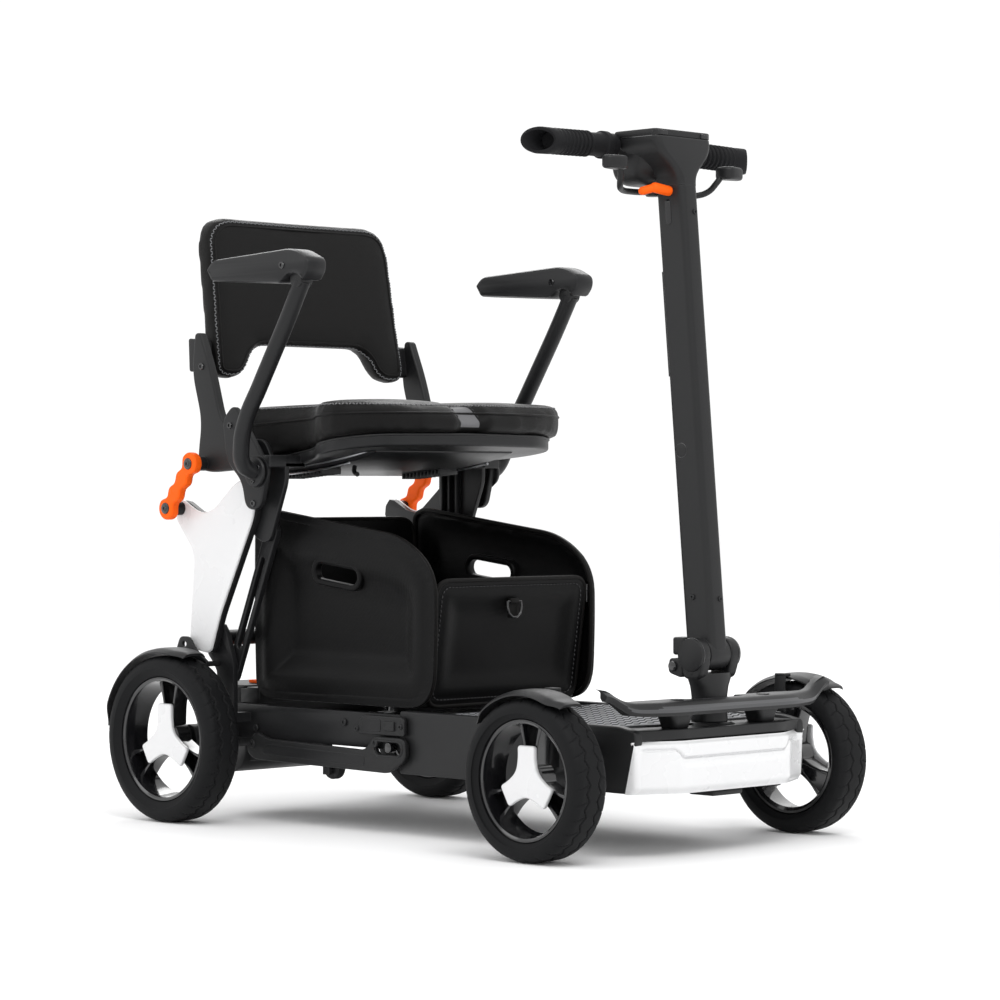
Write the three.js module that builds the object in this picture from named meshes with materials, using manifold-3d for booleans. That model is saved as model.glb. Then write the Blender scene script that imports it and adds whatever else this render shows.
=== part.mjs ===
// A folding four-wheel mobility scooter, in millimetres: +X forward, +Y to the rider's left, +Z up.
// The origin is on the floor, under the middle of the scooter's box.
// Fore-and-aft stations are given from the front axle, and at() turns them into the part's frame.
import * as THREE from "three";
import { mergeVertices } from "three/addons/utils/BufferGeometryUtils.js";
import Module from "manifold-3d";

const wasm = await Module();
wasm.setup();

// ---------- driving dimensions ----------
const FRONT_AXLE_X = 332.92; // front axle ahead of the origin
const WHEELBASE = 655;
const FRONT_WHEEL = { radius: 95, rim: 71, track: 236, station: 0 };
const REAR_WHEEL = { radius: 107.5, rim: 80, track: 237, station: -WHEELBASE };
const TYRE_WIDTH = 54;
const AXLE_RADIUS = 8;
const GAP = 0.4; // air between pieces that touch or turn in one another

const DECK = { rear: -318, front: 62, halfWidth: 150, top: 150, bottom: 77, wall: 5 };
const KINGPIN_Y = 186;
const STEERING_ARM = 40; // length of every steering arm, so the tie rod moves as a parallelogram
const TIE_ROD_Z = 92;

const HINGE = { station: 60, height: 234 }; // tiller fold pivot
const COLUMN = { depth: 44, width: 30, top: 794.6, lean: 0.0888 }; // it leans back by this share
const HEAD_TOP = 861;
const GRIP = { station: -47, height: 842, inner: 50.5, end: 201, radius: 15 };

// The seat rides on two bars a side, which form a parallelogram with the chassis and the seat.
const LEG_FOOT = { station: -640, height: 236 };
const STRUT_FOOT = { station: -618, height: 190 };
const BAR_REACH = { forward: 78, up: 186 }; // from a bar's foot to its head
const BACKREST_PIVOT = { station: -561, height: 473 };
const LINK_LOWER = { station: -690, height: 405 };
const LINK_UPPER = { station: -644, height: 463 };
const ARM_PIVOT = { station: -524, height: 452 };
const ARM_Y = 240;
const PIN_RADIUS = 6;

// Side layers, from the middle of the scooter outwards: each moving bar keeps to its own layer.
const LAYER = {
  strut: [160, 170],
  inner: [172, 179.5], // pivot towers of the chassis and inner plates of the seat
  leg: [181, 189],
  legCover: [189.4, 194.6],
  backArm: [181, 194.6],
  outer: [196, 206], // outer plates of the seat
  link: [208, 222],
};

const BAG = { bottom: 158, tubTop: 278, halfWidth: 146, wall: 6 };
const BACK_LEAN = 0.16; // the backrest leans back by this share

const at = (station) => FRONT_AXLE_X + station;
const mid = ([a, b]) => (a + b) / 2;

// ---------- materials ----------
const finish = (color, roughness, metalness = 0) =>
  new THREE.MeshStandardMaterial({ color, roughness, metalness });
const CHARCOAL = finish(0x35373a, 0.55);
const DARK_PAINT = finish(0x25272a, 0.45, 0.2);
const TYRE_RUBBER = finish(0x1f2124, 0.85);
const GLOSS_BLACK = finish(0x0d0e10, 0.2);
const WHITE_PANEL = finish(0xf4f5f6, 0.25);
const ORANGE = finish(0xff661a, 0.55);
const GREY_MAT = finish(0x8f9296, 0.8);
const UPHOLSTERY = finish(0x1d1d1d, 0.8);
const BAG_CLOTH = finish(0x161719, 0.75);
const GRIP_RUBBER = finish(0x1b1c1e, 0.75);

// ---------- solids ----------
// A closed geometry as a manifold-3d solid whose faces point outwards.
function solid(geometry) {
  const bare = geometry.index ? geometry.toNonIndexed() : geometry.clone();
  bare.deleteAttribute("normal");
  bare.deleteAttribute("uv");
  const merged = mergeVertices(bare, 1e-3);
  const position = merged.attributes.position;
  const triangles = new Uint32Array(merged.index.array);
  const corner = (i) => new THREE.Vector3().fromBufferAttribute(position, triangles[i]);
  let volume = 0;
  for (let i = 0; i < triangles.length; i += 3) {
    volume += corner(i).dot(corner(i + 1).cross(corner(i + 2))) / 6;
  }
  if (volume < 0) {
    for (let i = 0; i < triangles.length; i += 3) {
      [triangles[i + 1], triangles[i + 2]] = [triangles[i + 2], triangles[i + 1]];
    }
  }
  return new wasm.Manifold(
    new wasm.Mesh({ numProp: 3, vertProperties: position.array, triVerts: triangles }),
  );
}

const join = (...pieces) => pieces.reduce((sum, piece) => sum.add(piece));
const cut = (body, ...tools) => tools.reduce((rest, tool) => rest.subtract(tool), body);

function geometryOf(body) {
  const mesh = body.getMesh();
  const geometry = new THREE.BufferGeometry();
  geometry.setAttribute("position", new THREE.BufferAttribute(mesh.vertProperties, 3));
  geometry.setIndex(new THREE.BufferAttribute(mesh.triVerts, 1));
  geometry.computeVertexNormals();
  return geometry;
}

function block(x, y, z) {
  const geometry = new THREE.BoxGeometry(x[1] - x[0], y[1] - y[0], z[1] - z[0]);
  return solid(geometry.translate(mid(x), mid(y), mid(z)));
}

// A round bar along an axis; the centre gives its other two coordinates in X, Y, Z order.
function rod(axis, radius, [from, to], centre, sides = 16, endRadius = radius) {
  const geometry = new THREE.CylinderGeometry(endRadius, radius, to - from, sides);
  const middle = (from + to) / 2;
  if (axis === "x") geometry.rotateZ(-Math.PI / 2).translate(middle, centre[0], centre[1]);
  if (axis === "y") geometry.translate(centre[0], middle, centre[1]);
  if (axis === "z") geometry.rotateX(Math.PI / 2).translate(centre[0], centre[1], middle);
  return solid(geometry);
}

// A polygon with rounded corners: each point is [across, up] or [across, up, corner radius].
function outline(points, steps = 2) {
  const path = new THREE.Path();
  points.forEach(([u, v, radius = 0], i) => {
    const here = new THREE.Vector2(u, v);
    const before = new THREE.Vector2(...points[(i + points.length - 1) % points.length]);
    const after = new THREE.Vector2(...points[(i + 1) % points.length]);
    if (!radius) {
      if (i) path.lineTo(u, v);
      else path.moveTo(u, v);
      return;
    }
    const most = 0.49 * Math.min(here.distanceTo(before), here.distanceTo(after));
    const reach = Math.min(radius, most);
    const start = here.clone().add(before.sub(here).setLength(reach));
    const end = here.clone().add(after.sub(here).setLength(reach));
    if (i) path.lineTo(start.x, start.y);
    else path.moveTo(start.x, start.y);
    path.quadraticCurveTo(u, v, end.x, end.y);
  });
  return new THREE.Shape(path.getPoints(steps));
}

function slab(shape, depth, bevel) {
  const options = { depth, bevelEnabled: false, curveSegments: 6 };
  if (bevel) {
    Object.assign(options, {
      depth: depth - 2 * bevel,
      bevelEnabled: true,
      bevelThickness: bevel,
      bevelSize: bevel,
      bevelOffset: -bevel,
      bevelSegments: 1,
    });
  }
  const geometry = new THREE.ExtrudeGeometry(shape, options);
  return bevel ? geometry.translate(0, 0, bevel) : geometry;
}

// A plate drawn in a side view (X, Z), standing between two Y values.
const sidePlate = (shape, y, bevel = 0) =>
  solid(slab(shape, y[1] - y[0], bevel).rotateX(Math.PI / 2).translate(0, y[1], 0));
// A plate drawn in plan (X, Y), lying between two heights.
const flatPlate = (shape, z, bevel = 0) =>
  solid(slab(shape, z[1] - z[0], bevel).translate(0, 0, z[0]));
// A plate drawn in a front view (Y, Z), standing between two X values.
function frontPlate(shape, x, bevel = 0) {
  const turn = new THREE.Matrix4().set(0, 0, 1, 0, 1, 0, 0, 0, 0, 1, 0, 0, 0, 0, 0, 1);
  return solid(slab(shape, x[1] - x[0], bevel).applyMatrix4(turn).translate(x[0], 0, 0));
}

// A round tube along a smooth path.
function tube(points, radius, steps, sides = 12) {
  const path = new THREE.CatmullRomCurve3(points.map((p) => new THREE.Vector3(...p)));
  const ring = new THREE.Shape().absarc(0, 0, radius, 0, 2 * Math.PI);
  const section = new THREE.Shape(ring.getPoints(sides).slice(0, -1));
  return solid(
    new THREE.ExtrudeGeometry(section, { steps, extrudePath: path, bevelEnabled: false }),
  );
}

// A skin over rings of equal length, closed by a fan at each end.
function loft(rings) {
  const count = rings[0].length;
  const points = rings.flat();
  const index = [];
  for (let r = 0; r + 1 < rings.length; r++) {
    for (let i = 0; i < count; i++) {
      const a = r * count + i;
      const b = r * count + ((i + 1) % count);
      index.push(a, b, a + count, b, b + count, a + count);
    }
  }
  for (const [ring, start, flip] of [
    [rings[0], 0, true],
    [rings.at(-1), (rings.length - 1) * count, false],
  ]) {
    const centre = points.length;
    const sum = ring.reduce((s, p) => s.add(p), new THREE.Vector3());
    points.push(sum.divideScalar(count));
    for (let i = 0; i < count; i++) {
      const next = start + ((i + 1) % count);
      index.push(...(flip ? [centre, next, start + i] : [centre, start + i, next]));
    }
  }
  const geometry = new THREE.BufferGeometry().setFromPoints(points);
  geometry.setIndex(index);
  return solid(geometry);
}

// A rounded rectangle as a ring of points in a level plane.
function levelRing(x, y, z, corner, perCorner = 2) {
  const ring = [];
  const corners = [[x[1], y[1], 0], [x[0], y[1], 1], [x[0], y[0], 2], [x[1], y[0], 3]];
  for (const [cx, cy, quarter] of corners) {
    for (let i = 0; i <= perCorner; i++) {
      const angle = (quarter + i / perCorner) * (Math.PI / 2);
      const inX = Math.sign(mid(x) - cx) * corner;
      const inY = Math.sign(mid(y) - cy) * corner;
      const px = cx + inX + corner * Math.cos(angle);
      const py = cy + inY + corner * Math.sin(angle);
      ring.push(new THREE.Vector3(px, py, z));
    }
  }
  return ring;
}

// A solid of revolution about the wheel axis, from [radius, across] points.
function turned(points, segments = 28) {
  const closed = [...points, points[0]].map(([r, y]) => new THREE.Vector2(r, y));
  return solid(new THREE.LatheGeometry(closed, segments));
}

// A flat bar with round ends between two pivots, in a side view.
function barOutline(a, b, width, endWidth = width) {
  const from = new THREE.Vector2(at(a.station), a.height);
  const to = new THREE.Vector2(at(b.station), b.height);
  const along = to.clone().sub(from).angle();
  const shape = new THREE.Shape();
  shape.absarc(from.x, from.y, width / 2, along + Math.PI / 2, along + 1.5 * Math.PI);
  shape.absarc(to.x, to.y, endWidth / 2, along - Math.PI / 2, along + Math.PI / 2);
  return shape;
}

const shift = (p, forward, up) => ({ station: p.station + forward, height: p.height + up });
const LEG_HEAD = shift(LEG_FOOT, BAR_REACH.forward, BAR_REACH.up);
const STRUT_HEAD = shift(STRUT_FOOT, BAR_REACH.forward, BAR_REACH.up);
const pivotAt = (p) => [at(p.station), p.height];

// ---------- the scene graph ----------
const scooter = new THREE.Group();
const sides = { left: new THREE.Group(), right: new THREE.Group() };
sides.right.scale.y = -1; // pieces for the left are mirrored to the right
scooter.add(sides.left, sides.right);

function add(name, body, material, parent = scooter) {
  const mesh = new THREE.Mesh(geometryOf(body), material);
  mesh.name = name;
  parent.add(mesh);
  return mesh;
}

function addBoth(name, body, material) {
  for (const side of ["left", "right"]) {
    add(`${name}_${side}`, body, material, sides[side]);
  }
}

// ---------- wheels ----------
// Modelled about their own centre, with the outer face towards +Y.
function tyreSolid(wheel) {
  const half = TYRE_WIDTH / 2;
  const seat = wheel.rim + 1;
  const r = wheel.radius;
  return turned([
    [seat, -19], [seat + 7, -26], [r - 10, -half], [r - 3, -21], [r, -10],
    [r, 10], [r - 3, 21], [r - 10, half], [seat + 7, 26], [seat, 19],
  ]);
}

function rimSolid(wheel) {
  const r = wheel.rim;
  const ring = turned([
    [r + 0.6, -18], [r + 0.6, 18], [r - 2, 20], [r - 7, 18], [r - 8, -16], [r - 4, -20],
  ]);
  const spokes = [90, 210, 330].map((degrees) => {
    const geometry = new THREE.BoxGeometry(r - 20, 10, 22).translate((r + 8) / 2, -2, 0);
    return solid(geometry.rotateY(-THREE.MathUtils.degToRad(degrees)));
  });
  const hub = rod("y", 21, [-17, 9], [0, 0], 20);
  const bore = rod("y", AXLE_RADIUS + GAP, [-20, 4], [0, 0], 16);
  return cut(join(ring, ...spokes, hub), bore);
}

// The three-lobed cover over the hub.
function hubCapSolid(wheel) {
  const reach = 0.56 * wheel.rim;
  const lobes = [90, 210, 330].map((degrees) => {
    const geometry = new THREE.BoxGeometry(reach, 6, 19).translate(reach / 2, 12.4, 0);
    return solid(geometry.rotateY(-THREE.MathUtils.degToRad(degrees)));
  });
  return join(rod("y", 24, [9.4, 15.4], [0, 0], 20), ...lobes);
}

for (const [end, wheel] of [["front", FRONT_WHEEL], ["rear", REAR_WHEEL]]) {
  for (const side of ["left", "right"]) {
    const group = new THREE.Group();
    group.position.set(at(wheel.station), wheel.track, wheel.radius);
    sides[side].add(group);
    add(`tyre_${end}_${side}`, tyreSolid(wheel), TYRE_RUBBER, group);
    add(`rim_${end}_${side}`, rimSolid(wheel), GLOSS_BLACK, group);
    add(`hub_cap_${end}_${side}`, hubCapSolid(wheel), WHITE_PANEL, group);
  }
}

// ---------- fenders ----------
// A shell over the tyre between two angles, measured from straight ahead over the top.
function fenderSolid(wheel, from, to, width) {
  const radii = [wheel.radius + 7, wheel.radius + 10.5];
  const shape = new THREE.Shape();
  const [a, b] = [from, to].map(THREE.MathUtils.degToRad);
  shape.absarc(at(wheel.station), wheel.radius, radii[1], a, b, false);
  shape.absarc(at(wheel.station), wheel.radius, radii[0], b, a, true);
  return sidePlate(shape, [wheel.track - width / 2, wheel.track + width / 2]);
}

addBoth(
  "front_fender",
  join(
    fenderSolid(FRONT_WHEEL, 58, 140, 52),
    block([at(-8), at(8)], [KINGPIN_Y + 14, 212], [198, 203]),
    block([at(-8), at(8)], [KINGPIN_Y + 14, KINGPIN_Y + 18], [152.5, 203]),
  ),
  CHARCOAL,
);

addBoth(
  "rear_fender",
  join(
    fenderSolid(REAR_WHEEL, 70, 172, 52),
    block([at(-684), at(-660)], [201, 214], [216, 223]),
    sidePlate(
      outline([
        [at(-692), 212], [at(-645), 200], [at(-626), 200], [at(-626), 207],
        [at(-650), 222], [at(-662), 236, 6], [at(-678), 236, 6],
      ]),
      [201, 205],
    ),
    block([at(-645), at(-627)], [180, 203], [200, 206]),
  ),
  CHARCOAL,
);

// ---------- front axle and steering ----------
const axleZ = FRONT_WHEEL.radius;
add(
  "front_axle_beam",
  join(
    block([at(-11), at(11)], [-172, 172], [118, 138]),
    block([at(-11), at(11)], [-100, 100], [130, 144.6]),
    ...[-1, 1].flatMap((s) => {
      const y = s * KINGPIN_Y;
      return [
        rod("z", 9.5, [126, 138], [at(0), y], 16),
        block([at(-9), at(9)], [Math.min(s * 160, y), Math.max(s * 160, y)], [126, 138]),
        rod("z", 6, [66, 127], [at(0), y], 12),
        rod("z", 11, [62, 68], [at(0), y], 12),
      ];
    }),
  ),
  DARK_PAINT,
);

addBoth(
  "knuckle",
  cut(
    join(
      rod("z", 13, [69, 125], [at(0), KINGPIN_Y]),
      rod("y", AXLE_RADIUS, [KINGPIN_Y + 8, FRONT_WHEEL.track + 3], [at(0), axleZ]),
      rod("y", 15, [KINGPIN_Y + 8, 215], [at(0), axleZ]),
      block([at(-STEERING_ARM - 7), at(-6)], [KINGPIN_Y - 7, KINGPIN_Y + 7], [98, 105]),
      block([at(-8), at(8)], [KINGPIN_Y + 10, KINGPIN_Y + 17.6], [100, 152]),
    ),
    rod("z", 6 + GAP, [60, 130], [at(0), KINGPIN_Y]),
  ),
  DARK_PAINT,
);

add(
  "tie_rod",
  join(
    block([at(-STEERING_ARM - 6), at(-STEERING_ARM + 6)], [-KINGPIN_Y - 6, KINGPIN_Y + 6], [86, 97]),
    block(
      [at(-STEERING_ARM), at(HINGE.station - STEERING_ARM + 7)],
      [-7, 7],
      [86, 97],
    ),
  ),
  DARK_PAINT,
);

// ---------- deck ----------
const tray = block([at(DECK.rear), at(DECK.front)], [-DECK.halfWidth, DECK.halfWidth], [
  DECK.bottom,
  DECK.top,
]);
const trayHollow = block(
  [at(DECK.rear + DECK.wall), at(DECK.front - DECK.wall)],
  [-DECK.halfWidth + DECK.wall, DECK.halfWidth - DECK.wall],
  [DECK.bottom - 1, DECK.top - DECK.wall],
);
const wheelArch = block([at(-82), at(14)], [-160, 160], [DECK.bottom - 1, 141]);
const sideLip = (s) =>
  block(
    [at(DECK.rear), at(DECK.front)],
    [Math.min(s * 138, s * 152), Math.max(s * 138, s * 152)],
    [DECK.top - 8, DECK.top + 5],
  );
add(
  "deck_frame",
  cut(
    join(
      cut(tray, trayHollow, wheelArch),
      sideLip(1),
      sideLip(-1),
      block([at(42), at(74)], [-150, 150], [138, 151]),
      block([at(34), at(90)], [-26, 26], [128, 150]),
      block([at(50), at(92)], [-28, 28], [68, 76]),
      block([at(56), at(62)], [-28, 28], [75, 84]),
    ),
    rod("z", 20.4 + GAP, [120, 160], [at(HINGE.station), 0], 20),
    rod("z", 24, [84, 127], [at(HINGE.station), 0], 20),
  ),
  CHARCOAL,
);
add(
  "deck_mat",
  cut(
    flatPlate(
      outline([[at(-250), -136, 6], [at(38), -136, 14], [at(38), 136, 14], [at(-250), 136, 6]]),
      [150.4, 154],
    ),
    rod("z", 24, [148, 160], [at(HINGE.station), 0], 20),
  ),
  GREY_MAT,
);
// White front bumper: a hollow-backed panel with swept corners.
const bumperPlan = (inset) =>
  outline([
    [at(62.4), -152 + inset],
    [at(76 - inset), -152 + inset, 4],
    [at(106 - inset), -92, 14],
    [at(106 - inset), 92, 14],
    [at(76 - inset), 152 - inset, 4],
    [at(62.4), 152 - inset],
  ]);
add(
  "front_bumper",
  cut(
    flatPlate(bumperPlan(0), [76.4, 137.6], 2),
    flatPlate(bumperPlan(6), [70, 131]),
    block([at(60), at(90.4)], [-26.4, 26.4], [127.6, 140]),
  ),
  WHITE_PANEL,
);

// Foot bar: a swept wing on two posts, with its ends turned up.
const wingFront = outline([
  [-206, 199, 3], [-196, 201, 3], [-168, 183, 8], [168, 183, 8], [196, 201, 3], [206, 199, 3],
  [198, 172, 8], [160, 168, 6], [-160, 168, 6], [-198, 172, 8],
]);
const wingPlan = outline([
  [at(86), -208, 3], [at(101), -108, 20], [at(101), 108, 20], [at(86), 208, 3],
  [at(74), 208, 3], [at(72), 160, 6], [at(56), 130, 10], [at(56), 52, 8], [at(86), 38, 6],
  [at(86), -38, 6], [at(56), -52, 8], [at(56), -130, 10], [at(72), -160, 6], [at(74), -208, 3],
]);
add(
  "foot_bar",
  join(
    frontPlate(wingFront, [at(40), at(110)]).intersect(flatPlate(wingPlan, [150, 210])),
    ...[-77, 77].map((y) =>
      loft([
        levelRing([at(62), at(88)], [y - 17, y + 17], 151.4, 4),
        levelRing([at(60), at(90)], [y - 24, y + 24], 170, 4),
      ]),
    ),
  ),
  CHARCOAL,
);

// ---------- rear chassis ----------
// Every piece below is drawn for the left and mirrored, so mirror() makes the other half.
const mirror = (body) => join(body, solid(geometryOf(body).scale(1, -1, 1)));
const pinHole = (p, y, radius = PIN_RADIUS) => rod("y", radius + GAP, y, pivotAt(p));
const pin = (p, y, radius = PIN_RADIUS) => rod("y", radius, y, pivotAt(p));
const LEG_TUBE_RADIUS = 10;
const towerOutline = outline([
  [at(-634), 128], [at(-602), 128, 3], [at(-602), 205, 10], [at(-622), 258, 16],
  [at(-660), 254, 16], [at(-660), 222, 12], [at(-634), 195, 12],
]);
const rearSide = join(
  block([at(-637.4), at(-318.4)], [138, 150], [106, 149.6]),
  block([at(-634), at(-602)], [138, 179.5], [128, 140]),
  cut(sidePlate(towerOutline, LAYER.inner), pinHole(LEG_FOOT, [160, 190], LEG_TUBE_RADIUS)),
  pin(STRUT_FOOT, [LAYER.strut[0] - 2, LAYER.inner[0] + 1]),
  block([at(-473), at(-461)], [134, 140], [66, 112]),
  rod("y", 4, [116, 136], [at(-467), 74.6], 12),
);
add(
  "rear_frame",
  join(
    mirror(rearSide),
    block([at(-636), at(-622)], [-150, 150], [106, 125]),
    block([at(-334), at(-318.4)], [-150, 150], [106, 149.6]),
    block([at(-470), at(-452)], [-150, 150], [106, 120]),
  ),
  DARK_PAINT,
);
add(
  "battery_box",
  join(
    flatPlate(
      outline([[at(-738), -120, 16], [at(-640), -130, 10], [at(-640), 130, 10], [at(-738), 120, 16]]),
      [125.6, 172],
      3,
    ),
    flatPlate(
      outline([[at(-636), -130, 5], [at(-608), -130, 5], [at(-608), 130, 5], [at(-636), 130, 5]]),
      [150, 170],
    ),
    block([at(-645), at(-630)], [-130, 130], [150, 168]),
  ),
  CHARCOAL,
);
add(
  "battery_release_tab",
  flatPlate(outline([[at(-672), -96, 3], [at(-634), -96, 3], [at(-634), -62, 3], [at(-672), -62, 3]]), [
    172.4,
    177,
  ]),
  ORANGE,
);
const rearAxleZ = REAR_WHEEL.radius;
add(
  "rear_axle",
  join(
    rod("y", AXLE_RADIUS, [-REAR_WHEEL.track - 3, REAR_WHEEL.track + 3], [at(-WHEELBASE), rearAxleZ], 16),
    rod("y", 17, [-212, 212], [at(-WHEELBASE), rearAxleZ], 20),
    rod("y", 32, [-110, 30], [at(-690), 86], 20),
    block([at(-700), at(-650)], [-100, 20], [70, 104]),
  ),
  DARK_PAINT,
);

// Side link: a long low bar from the rear axle whose front end is slotted round a lock pin.
const linkBar = outline([
  [at(-600), 92, 10], [at(-585), 80, 10], [at(-330), 77, 6], [at(-296), 96, 8],
  [at(-300), 122, 10], [at(-356), 122, 8], [at(-372), 104, 6], [at(-560), 108, 10], [at(-582), 118, 12],
]);
const slotShape = barOutline(
  { station: -345, height: 108 },
  { station: -313, height: 108 },
  15,
);
addBoth(
  "side_link",
  join(
    cut(sidePlate(linkBar, [153, 161]), sidePlate(slotShape, [150, 165])),
    rod("y", 5, [150.6, 157], [at(-352.2), 108], 12),
  ),
  CHARCOAL,
);
addBoth(
  "chassis_latch",
  join(
    sidePlate(
      outline([[at(-392), 124, 3], [at(-302), 124, 3], [at(-302), 148, 5], [at(-380), 148, 5]]),
      [152.6, 159],
    ),
    block([at(-338), at(-318)], [158, 162], [130, 142]),
    rod("y", 3.5, [158, 161], [at(-308), 136], 12),
  ),
  CHARCOAL,
);
for (const side of ["left", "right"]) {
  const body = cut(
    rod("y", 15, [118, 132], [at(-467), 74.6], 20),
    rod("y", 4.4, [110, 140], [at(-467), 74.6], 12),
  );
  add(`anti_tip_roller_${side}`, body, DARK_PAINT, sides[side]);
}

// ---------- tiller ----------
const columnX = (z) => at(HINGE.station) - (z - HINGE.height) * COLUMN.lean - 3;
const hingeAt = pivotAt(HINGE);
const hingeCheek = join(
  block([hingeAt[0] - 20, hingeAt[0] + 20], [18.4, 35], [196, HINGE.height]),
  rod("y", 20, [18.4, 35], hingeAt, 20),
);
add(
  "steering_stem",
  join(
    rod("z", 20, [98, 190], [hingeAt[0], 0], 20),
    rod("z", 22, [152, 190], [hingeAt[0], 0], 20, 23),
    loft([
      levelRing([hingeAt[0] - 22, hingeAt[0] + 22], [-35, 35], 186, 12),
      levelRing([hingeAt[0] - 26, hingeAt[0] + 24], [-35, 35], 197, 12),
    ]),
    mirror(hingeCheek),
    rod("y", PIN_RADIUS, [-34, 34], hingeAt),
    block([at(HINGE.station - STEERING_ARM - 7), hingeAt[0]], [-8, 8], [98.4, 106]),
  ),
  CHARCOAL,
);

const columnRing = (z) =>
  levelRing(
    [columnX(z) - COLUMN.depth / 2, columnX(z) + COLUMN.depth / 2],
    [-COLUMN.width / 2, COLUMN.width / 2],
    z,
    8,
  );
add(
  "tiller_column",
  cut(
    join(
      loft([columnRing(HINGE.height), columnRing(COLUMN.top)]),
      rod("y", 19.4, [-17.6, 17.6], hingeAt, 20),
    ),
    rod("y", PIN_RADIUS + GAP, [-20, 20], hingeAt),
  ),
  CHARCOAL,
);
add(
  "hinge_latch",
  block([at(13), at(32.8)], [-14, 6], [232, 254]),
  CHARCOAL,
);

// The head widens from the column to its lid, with a rounded belly at the rear.
const headLevels = [
  [795, [-12, 30], 17, 8],
  [801, [-62, 28], 34, 12],
  [810, [-69, 25], 43, 14],
  [824, [-68, 22], 47, 12],
  [851.6, [-55, 18], 49, 8],
];
add(
  "tiller_head",
  loft(headLevels.map(([z, x, y, corner]) => levelRing(x.map(at), [-y, y], z, corner))),
  CHARCOAL,
);
add(
  "console_panel",
  loft([
    levelRing([at(-56), at(19)], [-50, 50], 852, 9),
    levelRing([at(-52), at(19)], [-50, 50], HEAD_TOP, 9),
  ]),
  CHARCOAL,
);
const gripAxis = pivotAt(GRIP);
addBoth(
  "grip",
  join(
    rod("y", GRIP.radius, [GRIP.inner, GRIP.end], gripAxis, 20),
    rod("y", GRIP.radius + 2, [GRIP.inner, GRIP.inner + 14], gripAxis, 20),
  ),
  GRIP_RUBBER,
);

// One rocking lever under the head carries a paddle for each hand.
const THROTTLE_STATION = -30;
const throttleArm = join(
  block([at(-36), at(-24)], [0, 80], [785, 793]),
  block([at(-36), at(-4)], [70, 82], [785, 804]),
  flatPlate(
    outline([
      [at(-12), 72, 4], [at(8), 76, 5], [at(16), 90, 5], [at(10), 122, 6],
      [at(0), 122, 6], [at(-8), 96, 5],
    ]),
    [798, 822],
  ),
);
add(
  "throttle_lever",
  join(mirror(throttleArm), rod("z", 10, [784, 794], [at(THROTTLE_STATION), 0])),
  CHARCOAL,
);

const RELEASE_PIVOT = { station: 9, height: 788 };
add(
  "fold_release_lever",
  join(
    rod("y", 6.4, [-36, -15.5], pivotAt(RELEASE_PIVOT), 12),
    tube([[at(9), -30, 788], [at(4), -38, 790], [at(0), -49, 787]], 6, 5, 8),
  ),
  ORANGE,
);

// ---------- seat suspension ----------
const legOutline = outline([
  [at(-584), 437, 8], [at(-566), 444, 8], [at(-544), 424, 12], [at(-546), 396, 10],
  [at(-613), 267, 10], [at(-632), 216, 8], [at(-674), 222, 14], [at(-663), 346, 10],
  [at(-704), 394, 12], [at(-694), 420, 14], [at(-640), 392, 20],
]);
const legSide = cut(
  join(
    sidePlate(legOutline, LAYER.leg),
    pin(LEG_FOOT, [0, LAYER.leg[0] + 2], LEG_TUBE_RADIUS),
    pin(LINK_LOWER, [LAYER.leg[1] - 2, LAYER.link[0] - 0.6], 9),
    pin(LINK_LOWER, [LAYER.link[0] - 2, LAYER.link[1]], PIN_RADIUS),
  ),
  pinHole(LEG_HEAD, [180, 190], 9),
);
add("leg_frame", mirror(legSide), DARK_PAINT);
addBoth(
  "leg_cover",
  cut(sidePlate(legOutline, LAYER.legCover), pinHole(LINK_LOWER, [188, 200], 9)),
  WHITE_PANEL,
);

const LINK_EYE_RADIUS = 13;
const linkEye = (p) => pin(p, LAYER.link, LINK_EYE_RADIUS);
addBoth(
  "fold_link",
  cut(
    join(
      sidePlate(barOutline(LINK_LOWER, LINK_UPPER, 22), LAYER.link),
      linkEye(LINK_LOWER),
      linkEye(LINK_UPPER),
    ),
    pinHole(LINK_LOWER, [200, 230]),
  ),
  ORANGE,
);
addBoth(
  "strut",
  cut(
    sidePlate(barOutline(STRUT_FOOT, STRUT_HEAD, 22), LAYER.strut),
    pinHole(STRUT_FOOT, [150, 180]),
    pinHole(STRUT_HEAD, [150, 180]),
  ),
  DARK_PAINT,
);

// ---------- seat ----------
const SEAT_BOTTOM_SLOPE = 0.15;
const cushionBottom = (station) => 477 + SEAT_BOTTOM_SLOPE * (station + 516);
const PAN_RIM = 16;
const panRimSide = sidePlate(
  outline([
    [at(-604), cushionBottom(-604) - GAP - PAN_RIM], [at(-346), cushionBottom(-346) - GAP - PAN_RIM],
    [at(-346), cushionBottom(-346) - GAP], [at(-604), cushionBottom(-604) - GAP],
  ]),
  [-195, 195],
);
const panRimPlan = flatPlate(
  outline([
    [at(-604), -150, 10], [at(-474), -154, 10], [at(-430), -188, 14], [at(-390), -190, 14],
    [at(-360), -146, 30], [at(-346), 0, 80], [at(-360), 146, 30], [at(-390), 190, 14],
    [at(-430), 188, 14], [at(-474), 154, 10], [at(-604), 150, 10],
  ]),
  [430, 520],
);
const panBox = sidePlate(
  outline([
    [at(-600), 446], [at(-500), 455], [at(-390), 478, 4],
    [at(-390), cushionBottom(-390) - 4], [at(-600), cushionBottom(-600) - 4],
  ]),
  [-128, 128],
);
const pan = join(panRimSide.intersect(panRimPlan), panBox);
const innerPlate = outline([
  [at(-584), 458], [at(-584), 410, 14], [at(-560), 366, 14], [at(-532), 360, 14],
  [at(-500), 440, 10], [at(-500), 474], [at(-530), 474], [at(-542), 494, 12], [at(-582), 496, 12],
]);
const outerPlate = outline([
  [at(-572), 540, 10], [at(-506), 458, 8], [at(-520), 404, 12], [at(-548), 404, 12],
  [at(-556), 440, 10], [at(-586), 466, 12], [at(-594), 520, 10],
]);
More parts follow.
